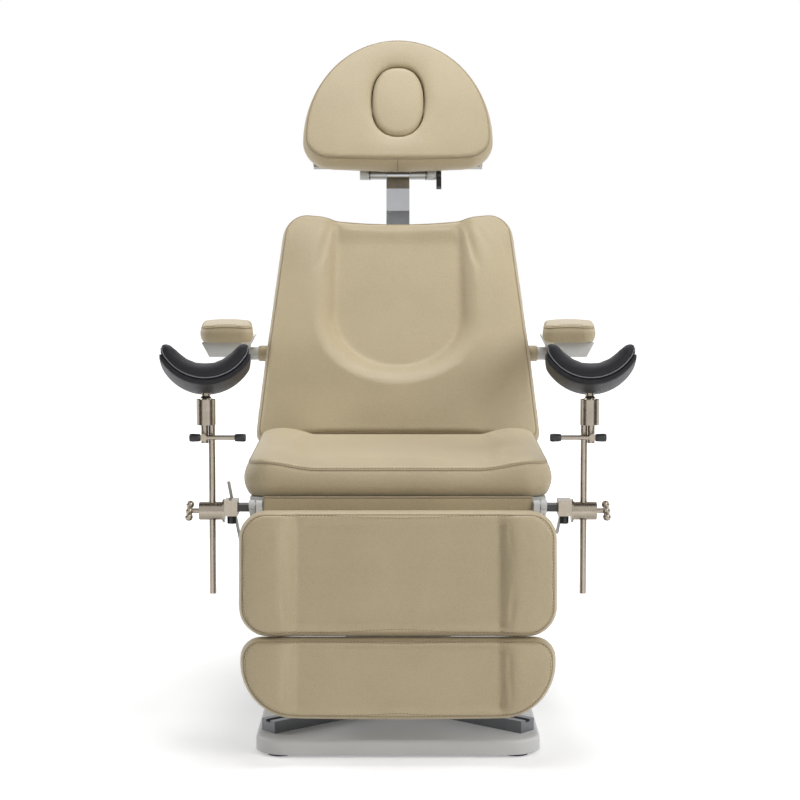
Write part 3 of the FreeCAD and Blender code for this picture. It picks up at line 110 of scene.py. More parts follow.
def meshPiece(name, points, faces):
    mesh = bpy.data.meshes.new(name)
    mesh.from_pydata(points.reshape(-1, 3).tolist(), [], faces.tolist())
    smoothAll(mesh)
    mesh.update()
    piece = bpy.data.objects.new(name, mesh)
    scene.collection.objects.link(piece)
    return piece


def tidyMesh(piece):  # doubles merged and faces turned outwards
    work = bmesh.new()
    work.from_mesh(piece.data)
    bmesh.ops.remove_doubles(work, verts=work.verts, dist=1e-6)
    bmesh.ops.dissolve_degenerate(work, dist=1e-7, edges=work.edges)
    bmesh.ops.recalc_face_normals(work, faces=work.faces)
    work.to_mesh(piece.data)
    work.free()
    smoothAll(piece.data)


def gridFaces(rows, columns, wrapRows=False, wrapColumns=False):  # quads of a rows by columns grid of points
    row, column = np.meshgrid(np.arange(rows if wrapRows else rows - 1),
                              np.arange(columns if wrapColumns else columns - 1), indexing="ij")
    nextRow, nextColumn = (row + 1) % rows, (column + 1) % columns
    corners = [row * columns + column, row * columns + nextColumn,
               nextRow * columns + nextColumn, nextRow * columns + column]
    return joined(*corners).reshape(-1, 4)


def fullTurn(count):
    return np.linspace(0, 2 * np.pi, count, endpoint=False)


def smoothStep(value):
    value = np.clip(value, 0.0, 1.0)
    return value * value * (3 - 2 * value)


def creaseUp(value):  # a fold at the foot of a slope that eases out at its top
    return 1 - (1 - np.clip(value, 0.0, 1.0)) ** 2


def evenly(points, count, closed=True):  # points along a line at equal steps
    line = np.vstack([points, points[:1]]) if closed else points
    steps = np.concatenate([[0], np.cumsum(np.linalg.norm(np.diff(line, axis=0), axis=1))])
    marks = np.linspace(0, steps[-1], count, endpoint=not closed)
    return joined(*[np.interp(marks, steps, values) for values in line.T])


def boxOutline(low, high, count):  # a rounded box: each end's half width, place and corner radius
    corners = np.array([(-low[0], *low[1:]), low, high, (-high[0], *high[1:])], float)
    middle, radii = corners[:, :2], corners[:, 2]
    before = unit(np.roll(middle, 1, axis=0) - middle)
    after = unit(np.roll(middle, -1, axis=0) - middle)
    half = np.arccos(np.clip((before * after).sum(1), -1, 1)) / 2
    reach = radii / np.tan(half)
    centre = middle + unit(before + after) * (radii / np.sin(half))[:, None]
    start = middle + before * reach[:, None] - centre
    end = middle + after * reach[:, None] - centre
    part = np.linspace(0, 1, 17)[None, :, None]
    swept = start[:, None] * (1 - part) + end[:, None] * part
    swept *= radii[:, None, None] / np.maximum(np.linalg.norm(swept, axis=2, keepdims=True), 1e-9)
    return evenly((centre[:, None] + swept).reshape(-1, 2), count)


def aheadOf(points):  # the way on at each point of a closed line
    return np.roll(points, -1, axis=0) - np.roll(points, 1, axis=0)


def ringsRound(ahead, count):  # a circle of points round each direction
    lean = np.where(np.abs(ahead[:, 2:3]) > 0.9, [[1.0, 0, 0]], [[0, 0, 1.0]])
    side = unit(np.cross(ahead, lean))
    up = np.cross(side, ahead)
    turn = fullTurn(count)
    return np.cos(turn)[None, :, None] * side[:, None] + np.sin(turn)[None, :, None] * up[:, None]


def tubeAlong(path, radius, closed=False, around=8):  # a round section carried along a path of points
    ahead = aheadOf(path)
    if not closed:
        ahead[0], ahead[-1] = path[1] - path[0], path[-1] - path[-2]
    points = path[:, None] + radius * ringsRound(unit(ahead), around)
    return points, gridFaces(len(path), around, wrapRows=closed, wrapColumns=True)


# shader groups: each gives values that change over the surface
def newGroup(name, inputs, outputs):
    group = bpy.data.node_groups.new(name, "ShaderNodeTree")
    for label, value in inputs.items():
        socket = group.interface.new_socket(label, in_out="INPUT", socket_type="NodeSocketFloat")
        socket.default_value = value
    for label in outputs:
        group.interface.new_socket(label, in_out="OUTPUT", socket_type="NodeSocketFloat")
    return group, group.nodes.new("NodeGroupInput").outputs, group.nodes.new("NodeGroupOutput").inputs


def addNode(tree, kind, values=None, **settings):  # each value is a link from a socket or a plain constant
    node = tree.nodes.new(kind)
    for setting, value in settings.items():
        setattr(node, setting, value)
    for socket, value in (values or {}).items():
        if isinstance(value, bpy.types.NodeSocket):
            tree.links.new(value, node.inputs[socket])
        else:
            node.inputs[socket].default_value = value
    return node.outputs


def mathNode(tree, operation, first, second):
    return addNode(tree, "ShaderNodeMath", {0: first, 1: second}, operation=operation)[0]


def weighed(tree, first, share, second, otherShare):
    return mathNode(tree, "ADD", mathNode(tree, "MULTIPLY", first, share),
                    mathNode(tree, "MULTIPLY", second, otherShare))


def noiseNode(tree, place, scale, detail, roughness=0.5):
    values = {"Vector": place, "Scale": scale, "Detail": detail, "Roughness": roughness}
    return addNode(tree, "ShaderNodeTexNoise", values)


def hideGrainGroup():  # pebbled hide: cell edges bent by fine noise, with pores and slow mottling
    group, given, leave = newGroup("hideGrain", {"Cells": 520.0, "Mottle": 9.0}, ["Height", "Tone", "Shine"])
    place = addNode(group, "ShaderNodeTexCoord")["Object"]
    wobble = noiseNode(group, place, 160.0, 2.0)["Color"]
    bending = {0: wobble, 1: (0.0016, 0.0016, 0.0016), 2: place}
    bent = addNode(group, "ShaderNodeVectorMath", bending, operation="MULTIPLY_ADD")[0]
    pebbles = {"Vector": bent, "Scale": given["Cells"]}
    edges = addNode(group, "ShaderNodeTexVoronoi", pebbles, feature="DISTANCE_TO_EDGE")["Distance"]
    pores = noiseNode(group, place, 1400.0, 3.0, 0.6)["Fac"]
    slow = noiseNode(group, place, given["Mottle"], 4.0, 0.55)["Fac"]
    pebble = mathNode(group, "MINIMUM", mathNode(group, "MULTIPLY", edges, 3.2), 1.0)
    height = weighed(group, pebble, 0.72, pores, 0.28)
    group.links.new(height, leave["Height"])
    group.links.new(weighed(group, slow, 0.5, height, 0.5), leave["Tone"])
    group.links.new(mathNode(group, "MULTIPLY", slow, pores), leave["Shine"])
    return group


def handledGroup():  # wiped metal or paint: slow smears, fine specks and hair scratches along one way
    defaults = {"Smear": 14.0, "Specks": 900.0, "Along": 12.0}
    group, given, leave = newGroup("handled", defaults, ["Smears", "Specks", "Hairs"])
    place = addNode(group, "ShaderNodeTexCoord")["Object"]
    for label, scale, detail in (("Smears", "Smear", 5.0), ("Specks", "Specks", 2.0)):
        group.links.new(noiseNode(group, place, given[scale], detail, 0.6)["Fac"], leave[label])
    stretch = addNode(group, "ShaderNodeMapping", {"Vector": place, "Scale": (700.0, 700.0, 1.0)})["Vector"]
    hairs = noiseNode(group, stretch, 1.0, 3.0)["Fac"]
    spread = mathNode(group, "MULTIPLY", hairs, mathNode(group, "MULTIPLY", given["Along"], 0.1))
    group.links.new(spread, leave["Hairs"])
    return group


hideGrain = hideGrainGroup()
handled = handledGroup()


def ranged(tree, source, low, high):  # a 0 to 1 value moved into a range
    return addNode(tree, "ShaderNodeMapRange", {"Value": source, "To Min": low, "To Max": high})["Result"]


def startMaterial(name, plain):
    material = bpy.data.materials.new(name)
    material.use_nodes = True
    shader = material.node_tree.nodes["Principled BSDF"].inputs
    for socket, value in plain.items():
        shader[socket].default_value = value
    return material, material.node_tree, shader


def coverWith(tree, shader, look, tone, shine, height):  # colour, roughness and bump from the group's values
    ends = {"Factor": tone, "A": (*look["dark"], 1), "B": (*look["light"], 1)}
    tree.links.new(addNode(tree, "ShaderNodeMix", ends, data_type="RGBA")["Result"], shader["Base Color"])
    tree.links.new(ranged(tree, shine, *look["rough"]), shader["Roughness"])
    relief = {"Strength": look["bump"], "Distance": look["depth"], "Height": height}
    tree.links.new(addNode(tree, "ShaderNodeBump", relief)["Normal"], shader["Normal"])


def leatherMaterial(name, look):
    plain = {"Sheen Weight": look["sheen"], "Sheen Roughness": 0.5, "Specular IOR Level": look["specular"]}
    material, tree, shader = startMaterial(name, plain)
    values = {"Cells": look["cells"], "Mottle": look["mottle"]}
    hide = addNode(tree, "ShaderNodeGroup", values, node_tree=hideGrain)
    coverWith(tree, shader, look, ranged(tree, hide["Tone"], -0.15, 1.15), hide["Shine"], hide["Height"])
    return material


def hardMaterial(name, look):
    plain = {"Metallic": look.get("metal", 0.0), "Coat Weight": look.get("coat", 0.0),
             "Specular IOR Level": 0.5}
    material, tree, shader = startMaterial(name, plain)
    values = {"Smear": look["smear"], "Specks": look["specks"], "Along": look.get("along", 6.0)}
    worn = addNode(tree, "ShaderNodeGroup", values, node_tree=handled)
    shine = weighed(tree, worn["Smears"], 0.6, worn["Hairs"], 0.4)
    coverWith(tree, shader, look, worn["Smears"], shine, worn[look.get("relief", "Specks")])
    return material


thread = {
    "cells": 1500.0, "mottle": 60.0, "rough": (0.6, 0.8), "bump": 0.3, "depth": 0.0003, "sheen": 0.2,
    "specular": 0.3}
leatherLooks = {
    "beigeHide": {
        "dark": (0.403, 0.331, 0.207), "light": (0.577, 0.477, 0.303), "cells": 380.0, "mottle": 7.0,
        "rough": (0.36, 0.6), "bump": 0.45, "depth": 0.0007, "sheen": 0.15, "specular": 0.42},
    "pipingHide": {
        "dark": (0.3, 0.235, 0.145), "light": (0.4, 0.325, 0.215), "cells": 900.0, "mottle": 25.0,
        "rough": (0.45, 0.65), "bump": 0.25, "depth": 0.0004, "sheen": 0.1, "specular": 0.4},
    "navyHide": {
        "dark": (0.0045, 0.0045, 0.0068), "light": (0.011, 0.011, 0.0155), "cells": 560.0, "mottle": 11.0,
        "rough": (0.46, 0.66), "bump": 0.4, "depth": 0.0007, "sheen": 0.03, "specular": 0.28},
    "tanThread": {**thread, "dark": (0.24, 0.175, 0.095), "light": (0.36, 0.28, 0.165)},
    "greyThread": {**thread, "dark": (0.16, 0.16, 0.175), "light": (0.27, 0.27, 0.29)},
}
brushed = {"metal": 1.0, "specks": 1500.0, "along": 10.0, "depth": 0.0002, "relief": "Hairs"}
hardLooks = {
    "whiteEnamel": {
        "dark": (0.6, 0.6, 0.59), "light": (0.68, 0.68, 0.67), "coat": 0.05, "smear": 6.0, "specks": 650.0,
        "rough": (0.42, 0.6), "bump": 0.14, "depth": 0.0003},
    "whiteMoulding": {
        "dark": (0.6, 0.6, 0.585), "light": (0.68, 0.68, 0.665), "smear": 9.0, "specks": 1300.0,
        "rough": (0.34, 0.52), "bump": 0.16, "depth": 0.0003},
    "whiteLaminate": {
        "dark": (0.58, 0.58, 0.565), "light": (0.67, 0.67, 0.66), "smear": 12.0, "specks": 420.0,
        "rough": (0.42, 0.6), "bump": 0.2, "depth": 0.0003},
    "greyAnodised": {
        **brushed, "dark": (0.15, 0.155, 0.165), "light": (0.22, 0.225, 0.235), "metal": 0.8, "smear": 10.0,
        "specks": 1600.0, "along": 9.0, "rough": (0.34, 0.52), "bump": 0.15},
    "brushedTube": {
        **brushed, "dark": (0.36, 0.365, 0.36), "light": (0.5, 0.505, 0.5), "metal": 0.9, "smear": 12.0,
        "specks": 1600.0, "along": 9.0, "rough": (0.3, 0.46), "bump": 0.12},
    "satinNickel": {
        **brushed, "dark": (0.27, 0.232, 0.185), "light": (0.42, 0.372, 0.31), "smear": 26.0,
        "rough": (0.18, 0.36), "bump": 0.1},
    "turnedSteel": {
        **brushed, "dark": (0.36, 0.36, 0.37), "light": (0.52, 0.52, 0.53), "smear": 20.0,
        "rough": (0.24, 0.42), "bump": 0.12},
    "chromePlate": {
        "dark": (0.36, 0.365, 0.38), "light": (0.48, 0.485, 0.5), "metal": 1.0, "smear": 18.0,
        "specks": 1800.0, "rough": (0.18, 0.3), "bump": 0.03, "depth": 0.0001},
    "darkBar": {
        "dark": (0.045, 0.043, 0.042), "light": (0.085, 0.08, 0.078), "metal": 0.6, "smear": 22.0,
        "specks": 900.0, "rough": (0.3, 0.5), "bump": 0.15, "depth": 0.0003},
    "blackMoulding": {
        "dark": (0.01, 0.01, 0.011), "light": (0.022, 0.022, 0.024), "smear": 30.0, "specks": 1200.0,
        "rough": (0.34, 0.56), "bump": 0.25, "depth": 0.0004},
    "footRubber": {
        "dark": (0.012, 0.012, 0.012), "light": (0.026, 0.026, 0.026), "smear": 30.0, "specks": 700.0,
        "rough": (0.6, 0.8), "bump": 0.4, "depth": 0.0005},
}
finish = {name: leatherMaterial(name, look) for name, look in leatherLooks.items()}
finish.update({name: hardMaterial(name, look) for name, look in hardLooks.items()})
print("materials made:", len(finish))


def setFinish(piece, finishName):
    piece.data.materials.clear()
    piece.data.materials.append(finish[finishName])


# finishes of the CAD pieces that stay in view, where a name with no node of its own stands for both sides
finishOfNodes = {
    "whiteEnamel": ["base_plate", "column_outer", "column_head", "seat_rail", "back_rails", "leg_rails",
                    "back_lever", "leg_lever", "foot_frame", "head_socket"],
    "whiteMoulding": ["arm_bracket", "side_lever"],
    "whiteLaminate": ["seat_board", "back_board", "leg_board", "foot_board", "head_board"],
    "greyAnodised": ["brace_rails", "column_inner", "back_drive", "leg_drive"],
    "brushedTube": ["head_bracket"],
    "turnedSteel": ["lift_spindle", "hinge_pins", "back_rod", "leg_rod"],
    "darkBar": ["stirrup_bar"],
    "chromePlate": ["head_bar"],
    "satinNickel": ["clamp_block", "rod_clamp", "rod_knob", "stirrup_rod", "socket_handle", "socket_ball"],
    "blackMoulding": ["head_lever", "clamp_screw"],
    "footRubber": ["base_feet"],
}
for finishName, names in finishOfNodes.items():
    for name in names:
        for node in [name] if name in nodes else [f"{name}_{side}" for side in sides]:
            setFinish(nodes[node], finishName)
print("finishes set on the CAD pieces")

# cushions: rings from the middle of the back, round a bulging band and over the sewn edge to the face
quarter = np.linspace(0, np.pi / 2, 9)


def outwardOf(outline, middle):
    ahead = aheadOf(outline)
    outward = unit(joined(ahead[:, 1], -ahead[:, 0]))
    return outward if (outward * (outline - middle)).sum() > 0 else -outward


def stepped(outline, outward, steps):  # copies of an outline, each moved out by its own step
    return outline[None] + steps[:, None, None] * outward[None]


def bandHeights(spec, rimTop, bandUp):  # up the back's rounding, the band and the face's rounding
    low = spec["low"] + spec["backRound"]
    return [np.tile((low - spec["backRound"] * np.cos(quarter))[:, None], len(rimTop)),
            low + (rimTop - low)[None] * bandUp[:, None],
            rimTop[None] + spec["faceDrop"] * np.sin(quarter)[:, None]]


def ringsOf(outline, spec, faceHeight):
    # outline moved out by the band's bulge and in by each rounding, then shrunk to the middle
    middle = np.array(spec["middle"])
    bandUp = np.linspace(0, 1, 15)[1:-1]
    bulge = spec["belly"] * np.sin(np.pi * bandUp ** 0.9)
    steps = [-spec["backRound"] * (1 - np.sin(quarter)), bulge, -spec["faceRound"] * (1 - np.cos(quarter))]
    edge = stepped(outline, outwardOf(outline, middle), np.concatenate(steps))
    shrink = 1 - np.linspace(0, 1, spec["rings"])[1:] ** 0.8
    inner = middle + (edge[-1] - middle)[None] * shrink[:, None, None]
    under = middle + (edge[0] - middle)[None] * shrink[::-1, None, None]
    rimTop = faceHeight(edge[-1][:, 0], edge[-1][:, 1]) - spec["faceDrop"]
    height = np.concatenate([np.full(under.shape[:2], spec["low"]), *bandHeights(spec, rimTop, bandUp),
                             faceHeight(inner[..., 0], inner[..., 1])])
    flat = np.concatenate([under, edge, inner])
    seamRing = len(under) + len(quarter) + len(bandUp) + spec["seamAt"]
    return joined(flat[..., 0], flat[..., 1], height), seamRing


def evaluated(piece):
    return piece.evaluated_get(bpy.context.evaluated_depsgraph_get())


def remeshed(piece, voxel):  # even quads all over, so the sewn shape can swell
    remesh = piece.modifiers.new("evenly", "REMESH")
    remesh.mode = "VOXEL"
    remesh.voxel_size = voxel
    ease = piece.modifiers.new("ease", "SMOOTH")
    ease.factor = 0.5
    ease.iterations = 2
    fresh = bpy.data.meshes.new_from_object(evaluated(piece))
    piece.modifiers.clear()
    piece.data = fresh


def readOut(items, field):
    values = np.empty(len(items) * 3)
    items.foreach_get(field, values)
    return values.reshape(-1, 3)


def pointsOf(mesh):
    return readOut(mesh.vertices, "co")


def normalsOf(mesh):
    return readOut(mesh.vertex_normals, "vector")


def movePoints(mesh, points):
    mesh.vertices.foreach_set("co", points.ravel())
    mesh.update()


def nearestTo(points, path):  # each point's distance to a path's points, in slices to spare memory
    return np.concatenate([np.sqrt(((part[:, None] - path[None]) ** 2).sum(-1).min(1))
                           for part in np.array_split(points, max(len(points) // 4000, 1))])


# stuffing: what every cover shares, unless its own dictionary says otherwise
stuffing = {
    "voxel": 0.006, "frames": 14, "pressure": 4.0, "cap": 0.006, "pull": 0.0022, "pullWidth": 0.005,
    "hide": "beigeHide", "heldBy": 0.012, "heldUnder": -0.4, "freeBy": 0.02}
clothSettings = {
    "quality": 4, "mass": 0.35, "tension_stiffness": 30, "compression_stiffness": 30,
    "bending_stiffness": 2.0, "use_pressure": True}


def swell(piece, spec, path):  # air pressure inside the cover, held along its seam and underside, and capped
    before = pointsOf(piece.data)
    fromSeam = nearestTo(before, path)
    held = piece.vertex_groups.new(name="held")
    under = normalsOf(piece.data) @ spec["off"] < spec["heldUnder"]
    held.add(np.flatnonzero((fromSeam < spec["heldBy"]) | under).tolist(), 1.0, "REPLACE")
    cloth = piece.modifiers.new("cover", "CLOTH")
    for setting, value in clothSettings.items():
        setattr(cloth.settings, setting, value)
    cloth.settings.uniform_pressure_force = spec["pressure"]
    cloth.settings.vertex_group_mass = "held"
    cloth.settings.effector_weights.gravity = 0
    cloth.collision_settings.use_collision = False
    cloth.point_cache.frame_end = spec["frames"]
    for step in range(1, spec["frames"] + 1):
        scene.frame_set(step)
    moved = pointsOf(evaluated(piece).to_mesh()) - before
    size = np.linalg.norm(moved, axis=1, keepdims=True)
    free = 1 - np.exp(-(fromSeam / spec["freeBy"]) ** 2)
    moved *= np.minimum(1, spec["cap"] / np.maximum(size, 1e-9)) * free[:, None]
    piece.modifiers.clear()
    scene.frame_set(1)
    movePoints(piece.data, before + moved)
    most = float(np.linalg.norm(moved, axis=1).max())
    print(spec["name"], "swelled by up to", round(most * 1000, 1), "mm")


def pressSeam(piece, path, depth, width):  # the thread draws the cover in along its line
    points = pointsOf(piece.data)
    pull = depth * np.exp(-(nearestTo(points, path) / width) ** 2)
    movePoints(piece.data, points - pull[:, None] * normalsOf(piece.data))


def laidOn(piece, path, lift=0.0):  # a path moved onto a piece's surface
    tree = BVHTree.FromObject(piece, bpy.context.evaluated_depsgraph_get())
    found = [tree.find_nearest(Vector(point)) for point in path]
    return np.array([hit[0] + hit[1] * lift for hit in found])


def padded(piece, spec, seam):
    tidyMesh(piece)
    remeshed(piece, spec["voxel"])
    path = evenly(seam, 600)
    swell(piece, spec, path)
    pressSeam(piece, path, spec["pull"], spec["pullWidth"])
    setFinish(piece, spec["hide"])
    smoothAll(piece.data)
    finer = piece.modifiers.new("finer", "SUBSURF")
    finer.levels = finer.render_levels = 1
    return piece, laidOn(piece, path)


def cushion(spec, outline, faceHeight, place):
    spec = {**stuffing, **spec}
    rings, seamRing = ringsOf(outline, spec, faceHeight)
    points = place(rings)
    piece = meshPiece(spec["name"], points, gridFaces(*points.shape[:2], wrapColumns=True))
    return padded(piece, spec, points[seamRing])


def settle(piece, body, node):
    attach(piece, body)
    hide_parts(node)


def sewn(spec, outline, faceHeight, place, body, node):
    piece, seam = cushion(spec, outline, faceHeight, place)
    settle(piece, body, node)
    return piece, seam


# seat: two bolsters along the sides, a flat pan falling towards the front, the top sewn to a tall full band
seatShape = {
    "name": "seatCushion", "middle": (0.0, 0.0), "off": (0, 0, 1), "low": 0.4965, "half": 0.2965,
    "front": -0.2285, "rear": 0.229, "frontRound": 0.05, "rearRound": 0.03, "backRound": 0.006,
    "faceRound": 0.012, "faceDrop": 0.009, "belly": 0.0085, "rings": 46, "seamAt": 1, "panFront": 0.5575,
    "panRise": 0.0205, "bolster": 0.0145, "panHalf": 0.186, "panSlope": 0.075, "easeIn": 0.03,
    "easeOver": 0.04, "frontShare": 0.2, "sideFall": 0.008, "sideFrom": 0.245, "sideOver": 0.052}


def sideFall(s, x):
    return s["sideFall"] * np.clip((np.abs(x) - s["sideFrom"]) / s["sideOver"], 0, 1) ** 2


def seatFace(x, y):  # a sloping pan, bolsters folded up from it, and a soft fall over their outer sides
    s = seatShape
    back = (y - s["front"]) / (s["rear"] - s["front"])
    atFront = smoothStep(1 - back / s["frontShare"])
    out = np.abs(x) - s["panHalf"]
    folded = creaseUp(out / s["panSlope"])
    eased = smoothStep((out + s["easeIn"]) / (s["panSlope"] + s["easeOver"]))
    rise = s["bolster"] * (folded * (1 - atFront) + eased * atFront)
    return s["panFront"] + s["panRise"] * np.clip(back, 0, 1) + rise - sideFall(s, x)


def makeSeat():
    s = seatShape
    front, rear = (s["half"], s["front"], s["frontRound"]), (s["half"], s["rear"], s["rearRound"])
    return sewn(s, boxOutline(front, rear, 420), seatFace, toSeat, "seat", "seat_pad")


# back: a tapered pad with a horseshoe round a sunk panel, its top edge dipped, its lower corners folded away
backShape = {
    "name": "backCushion", "middle": (0.0, 0.306), "off": (0, -0.866, 0.5), "low": -0.0495, "high": 0.033,
    "start": 0.03, "top": 0.592, "lowHalf": 0.3125, "topHalf": 0.258, "lowRound": 0.02, "topRound": 0.05,
    "topDip": 0.017, "dipHalf": 0.215, "dipOver": 0.09, "backRound": 0.012, "faceRound": 0.01,
    "faceDrop": 0.009, "belly": 0.007, "rings": 60, "seamAt": 2, "panelHalf": 0.146, "panelBase": 0.335,
    "panelDrop": 0.135, "panelDepth": 0.034, "panelSlope": 0.036, "footSlope": 0.03, "horseshoe": 0.009,
    "ridgeOver": 0.11, "lipFrom": 0.075, "lipOver": 0.07, "lipShare": 0.62, "lipFall": 0.007,
    "cornerFold": 0.26, "foldAt": (0.16, 0.03), "foldAcross": 0.827, "foldAlong": 0.562, "foldSoft": 0.016,
    "foldMost": 0.03}


def backFace(x, along):  # sunk inside the panel, folded up to its lip, falling away beyond the corner folds
    s = backShape
    under = np.clip((s["panelBase"] - along) / s["panelDrop"], 0, 1)
    below = np.minimum(along - s["panelBase"], 0.0) * s["panelHalf"] / s["panelDrop"]
    out = np.hypot(x, below) - s["panelHalf"]
    slope = s["panelSlope"] + s["footSlope"] * under
    nearTop = smoothStep((along - s["top"] + s["lipFrom"]) / s["lipOver"])
    sunk = s["panelDepth"] * (1 - creaseUp(out / slope)) * (1 - s["lipShare"] * nearTop)
    ridge = s["horseshoe"] * smoothStep((out - slope) / s["ridgeOver"])
    beyond = s["foldAcross"] * (np.abs(x) - s["foldAt"][0]) - s["foldAlong"] * (along - s["foldAt"][1])
    corner = s["cornerFold"] * (np.sqrt(beyond ** 2 + s["foldSoft"] ** 2) + beyond) / 2
    return s["high"] - sunk - ridge - np.minimum(corner, s["foldMost"]) - s["lipFall"] * nearTop


def makeBack():
    s = backShape
    low, top = (s["lowHalf"], s["start"], s["lowRound"]), (s["topHalf"], s["top"], s["topRound"])
    outline = boxOutline(low, top, 520)
    nearTop = smoothStep((outline[:, 1] - s["top"] + s["dipOver"]) / s["dipOver"])
    outline[:, 1] -= s["topDip"] * np.clip(1 - (outline[:, 0] / s["dipHalf"]) ** 2, 0, 1) * nearTop
    return sewn(s, outline, backFace, toBack, "back", "back_pad")


# legs: an upper and a lower pad, each with a flat sunk middle folded up to its side bolsters
legShapes = {
    "upper": {
        "name": "upperLegCushion", "node": "leg_pad_upper", "body": "leg", "start": 0.015, "length": 0.23,
        "half": 0.2995, "hingeRound": 0.048, "footRound": 0.052, "bow": 0.0},
    "lower": {
        "name": "lowerLegCushion", "node": "leg_pad_lower", "body": "foot", "start": 0.2565, "length": 0.143,
        "half": 0.2965, "hingeRound": 0.034, "footRound": 0.1, "bow": 0.004},
}
legCommon = {
    "off": (0, -0.9945, 0.1045), "low": 0.0215, "high": 0.0925, "backRound": 0.01, "faceRound": 0.009,
    "faceDrop": 0.008, "belly": 0.0058, "rings": 40, "seamAt": 2, "panHalf": 0.1955, "panSlope": 0.036,
    "pan": 0.0205, "panEnd": 0.004, "panRun": 0.026, "endFall": 0.005, "endOver": 0.045, "sideFall": 0.005,
    "sideFrom": 0.24, "sideOver": 0.06, "fold": 0.0022, "foldWidth": 0.007, "foldEnd": 0.012,
    "bowFrom": 0.03, "cap": 0.0015}


def makeLeg(shape):
    s = {**legCommon, **shape}
    near, far = -s["start"], -s["start"] - s["length"]
    s["middle"] = (0.0, -s["start"] - s["length"] / 2)

    def legFace(x, along):  # the sunk middle runs out just before both ends
        fromEnd = np.minimum(near - along, along - far)
        rise = creaseUp((np.abs(x) - s["panHalf"]) / s["panSlope"])
        ease = s["endFall"] * (1 - smoothStep(fromEnd / s["endOver"]))
        sunk = s["pan"] * (1 - rise) * smoothStep((fromEnd + s["panEnd"]) / s["panRun"])
        return s["high"] - sunk - ease - sideFall(s, x)

    outline = boxOutline((s["half"], far, s["footRound"]), (s["half"], near, s["hingeRound"]), 420)
    lower = smoothStep((near - s["bowFrom"] - outline[:, 1]) / (s["length"] - 2 * s["bowFrom"]))
    outline[:, 1] -= s["bow"] * np.clip(1 - (outline[:, 0] / s["half"]) ** 2, 0, 1) * lower
    piece, seam = sewn(s, outline, legFace, toLeg, s["body"], s["node"])
    part = np.linspace(near - s["foldEnd"], far + s["foldEnd"], 80)
    for sign in sides.values():
        fold = joined(sign * s["panHalf"], part, s["high"] - s["pan"])
        pressSeam(piece, toLeg(fold), s["fold"], s["foldWidth"])
    return piece, seam


seatCushion, seatSeam = makeSeat()
backCushion, backSeam = makeBack()
legCushions = {name: makeLeg(shape) for name, shape in legShapes.items()}
print("seat, back and leg cushions made")

# head: a half oval pad with an oval opening, closed by a plug of the same hide
headShape = {
    "name": "headCushion", "off": (0, -0.866, 0.5), "voxel": 0.005, "start": 0.7425, "length": 0.3415,
    "half": 0.2215, "wideAt": 0.066, "low": -0.0295, "high": 0.036, "lowRound": 0.062, "faceRound": 0.01,
    "faceDrop": 0.008, "backRound": 0.004, "belly": 0.006, "plugAt": 0.1625, "plugHalf": 0.0645,
    "plugLong": 0.101, "plugRound": 0.007, "fuller": 2.4, "count": 360, "smile": 0.006, "crown": 0.007,
    "crownAt": 0.14, "crownReach": 0.21, "crownMost": 1.2, "dish": 0.005, "dishWidth": 0.3, "seamAt": 2}


def headOutline():  # a half oval above the widest line, two rounded corners and a bowed foot below it
    s = headShape
    turn = np.linspace(0, np.pi, 121)
    rise = s["length"] - s["wideAt"]
    oval = joined(s["half"] * np.cos(turn), s["start"] + s["wideAt"] + rise * np.sin(turn))
    arc = np.linspace(np.pi, 1.5 * np.pi, 17)
    reach = s["lowRound"]
    left = joined(-s["half"] + reach + reach * np.cos(arc), s["start"] + reach + reach * np.sin(arc))
    right = left[::-1] * np.array([-1, 1])
    dip = np.linspace(-1, 1, 21)[1:-1]
    foot = joined(dip * (s["half"] - reach), s["start"] - s["smile"] * (1 - dip ** 2))
    return evenly(np.vstack([oval, left, foot, right]), s["count"])


def plugRing(half, long, angle):  # an oval with fuller sides, about the plug's middle
    power = headShape["fuller"]
    fuller = (np.abs(np.cos(angle)) ** power + np.abs(np.sin(angle)) ** power) ** (-1 / power)
    middle = headShape["start"] + headShape["plugAt"]
    return joined(half * fuller * np.cos(angle), middle + long * fuller * np.sin(angle))


def headFace(x, along):  # a low crown that falls to the edge, dished a little round the plug
    s = headShape
    acrossPlug = np.hypot(x / s["plugHalf"], (along - s["start"] - s["plugAt"]) / s["plugLong"])
    fromMiddle = np.hypot(x / s["half"], (along - s["start"] - s["crownAt"]) / s["crownReach"])
    dish = s["dish"] * np.exp(-((acrossPlug - 1) / s["dishWidth"]) ** 2)
    return s["high"] - s["crown"] * np.clip(fromMiddle, 0, s["crownMost"]) ** 2 - dish


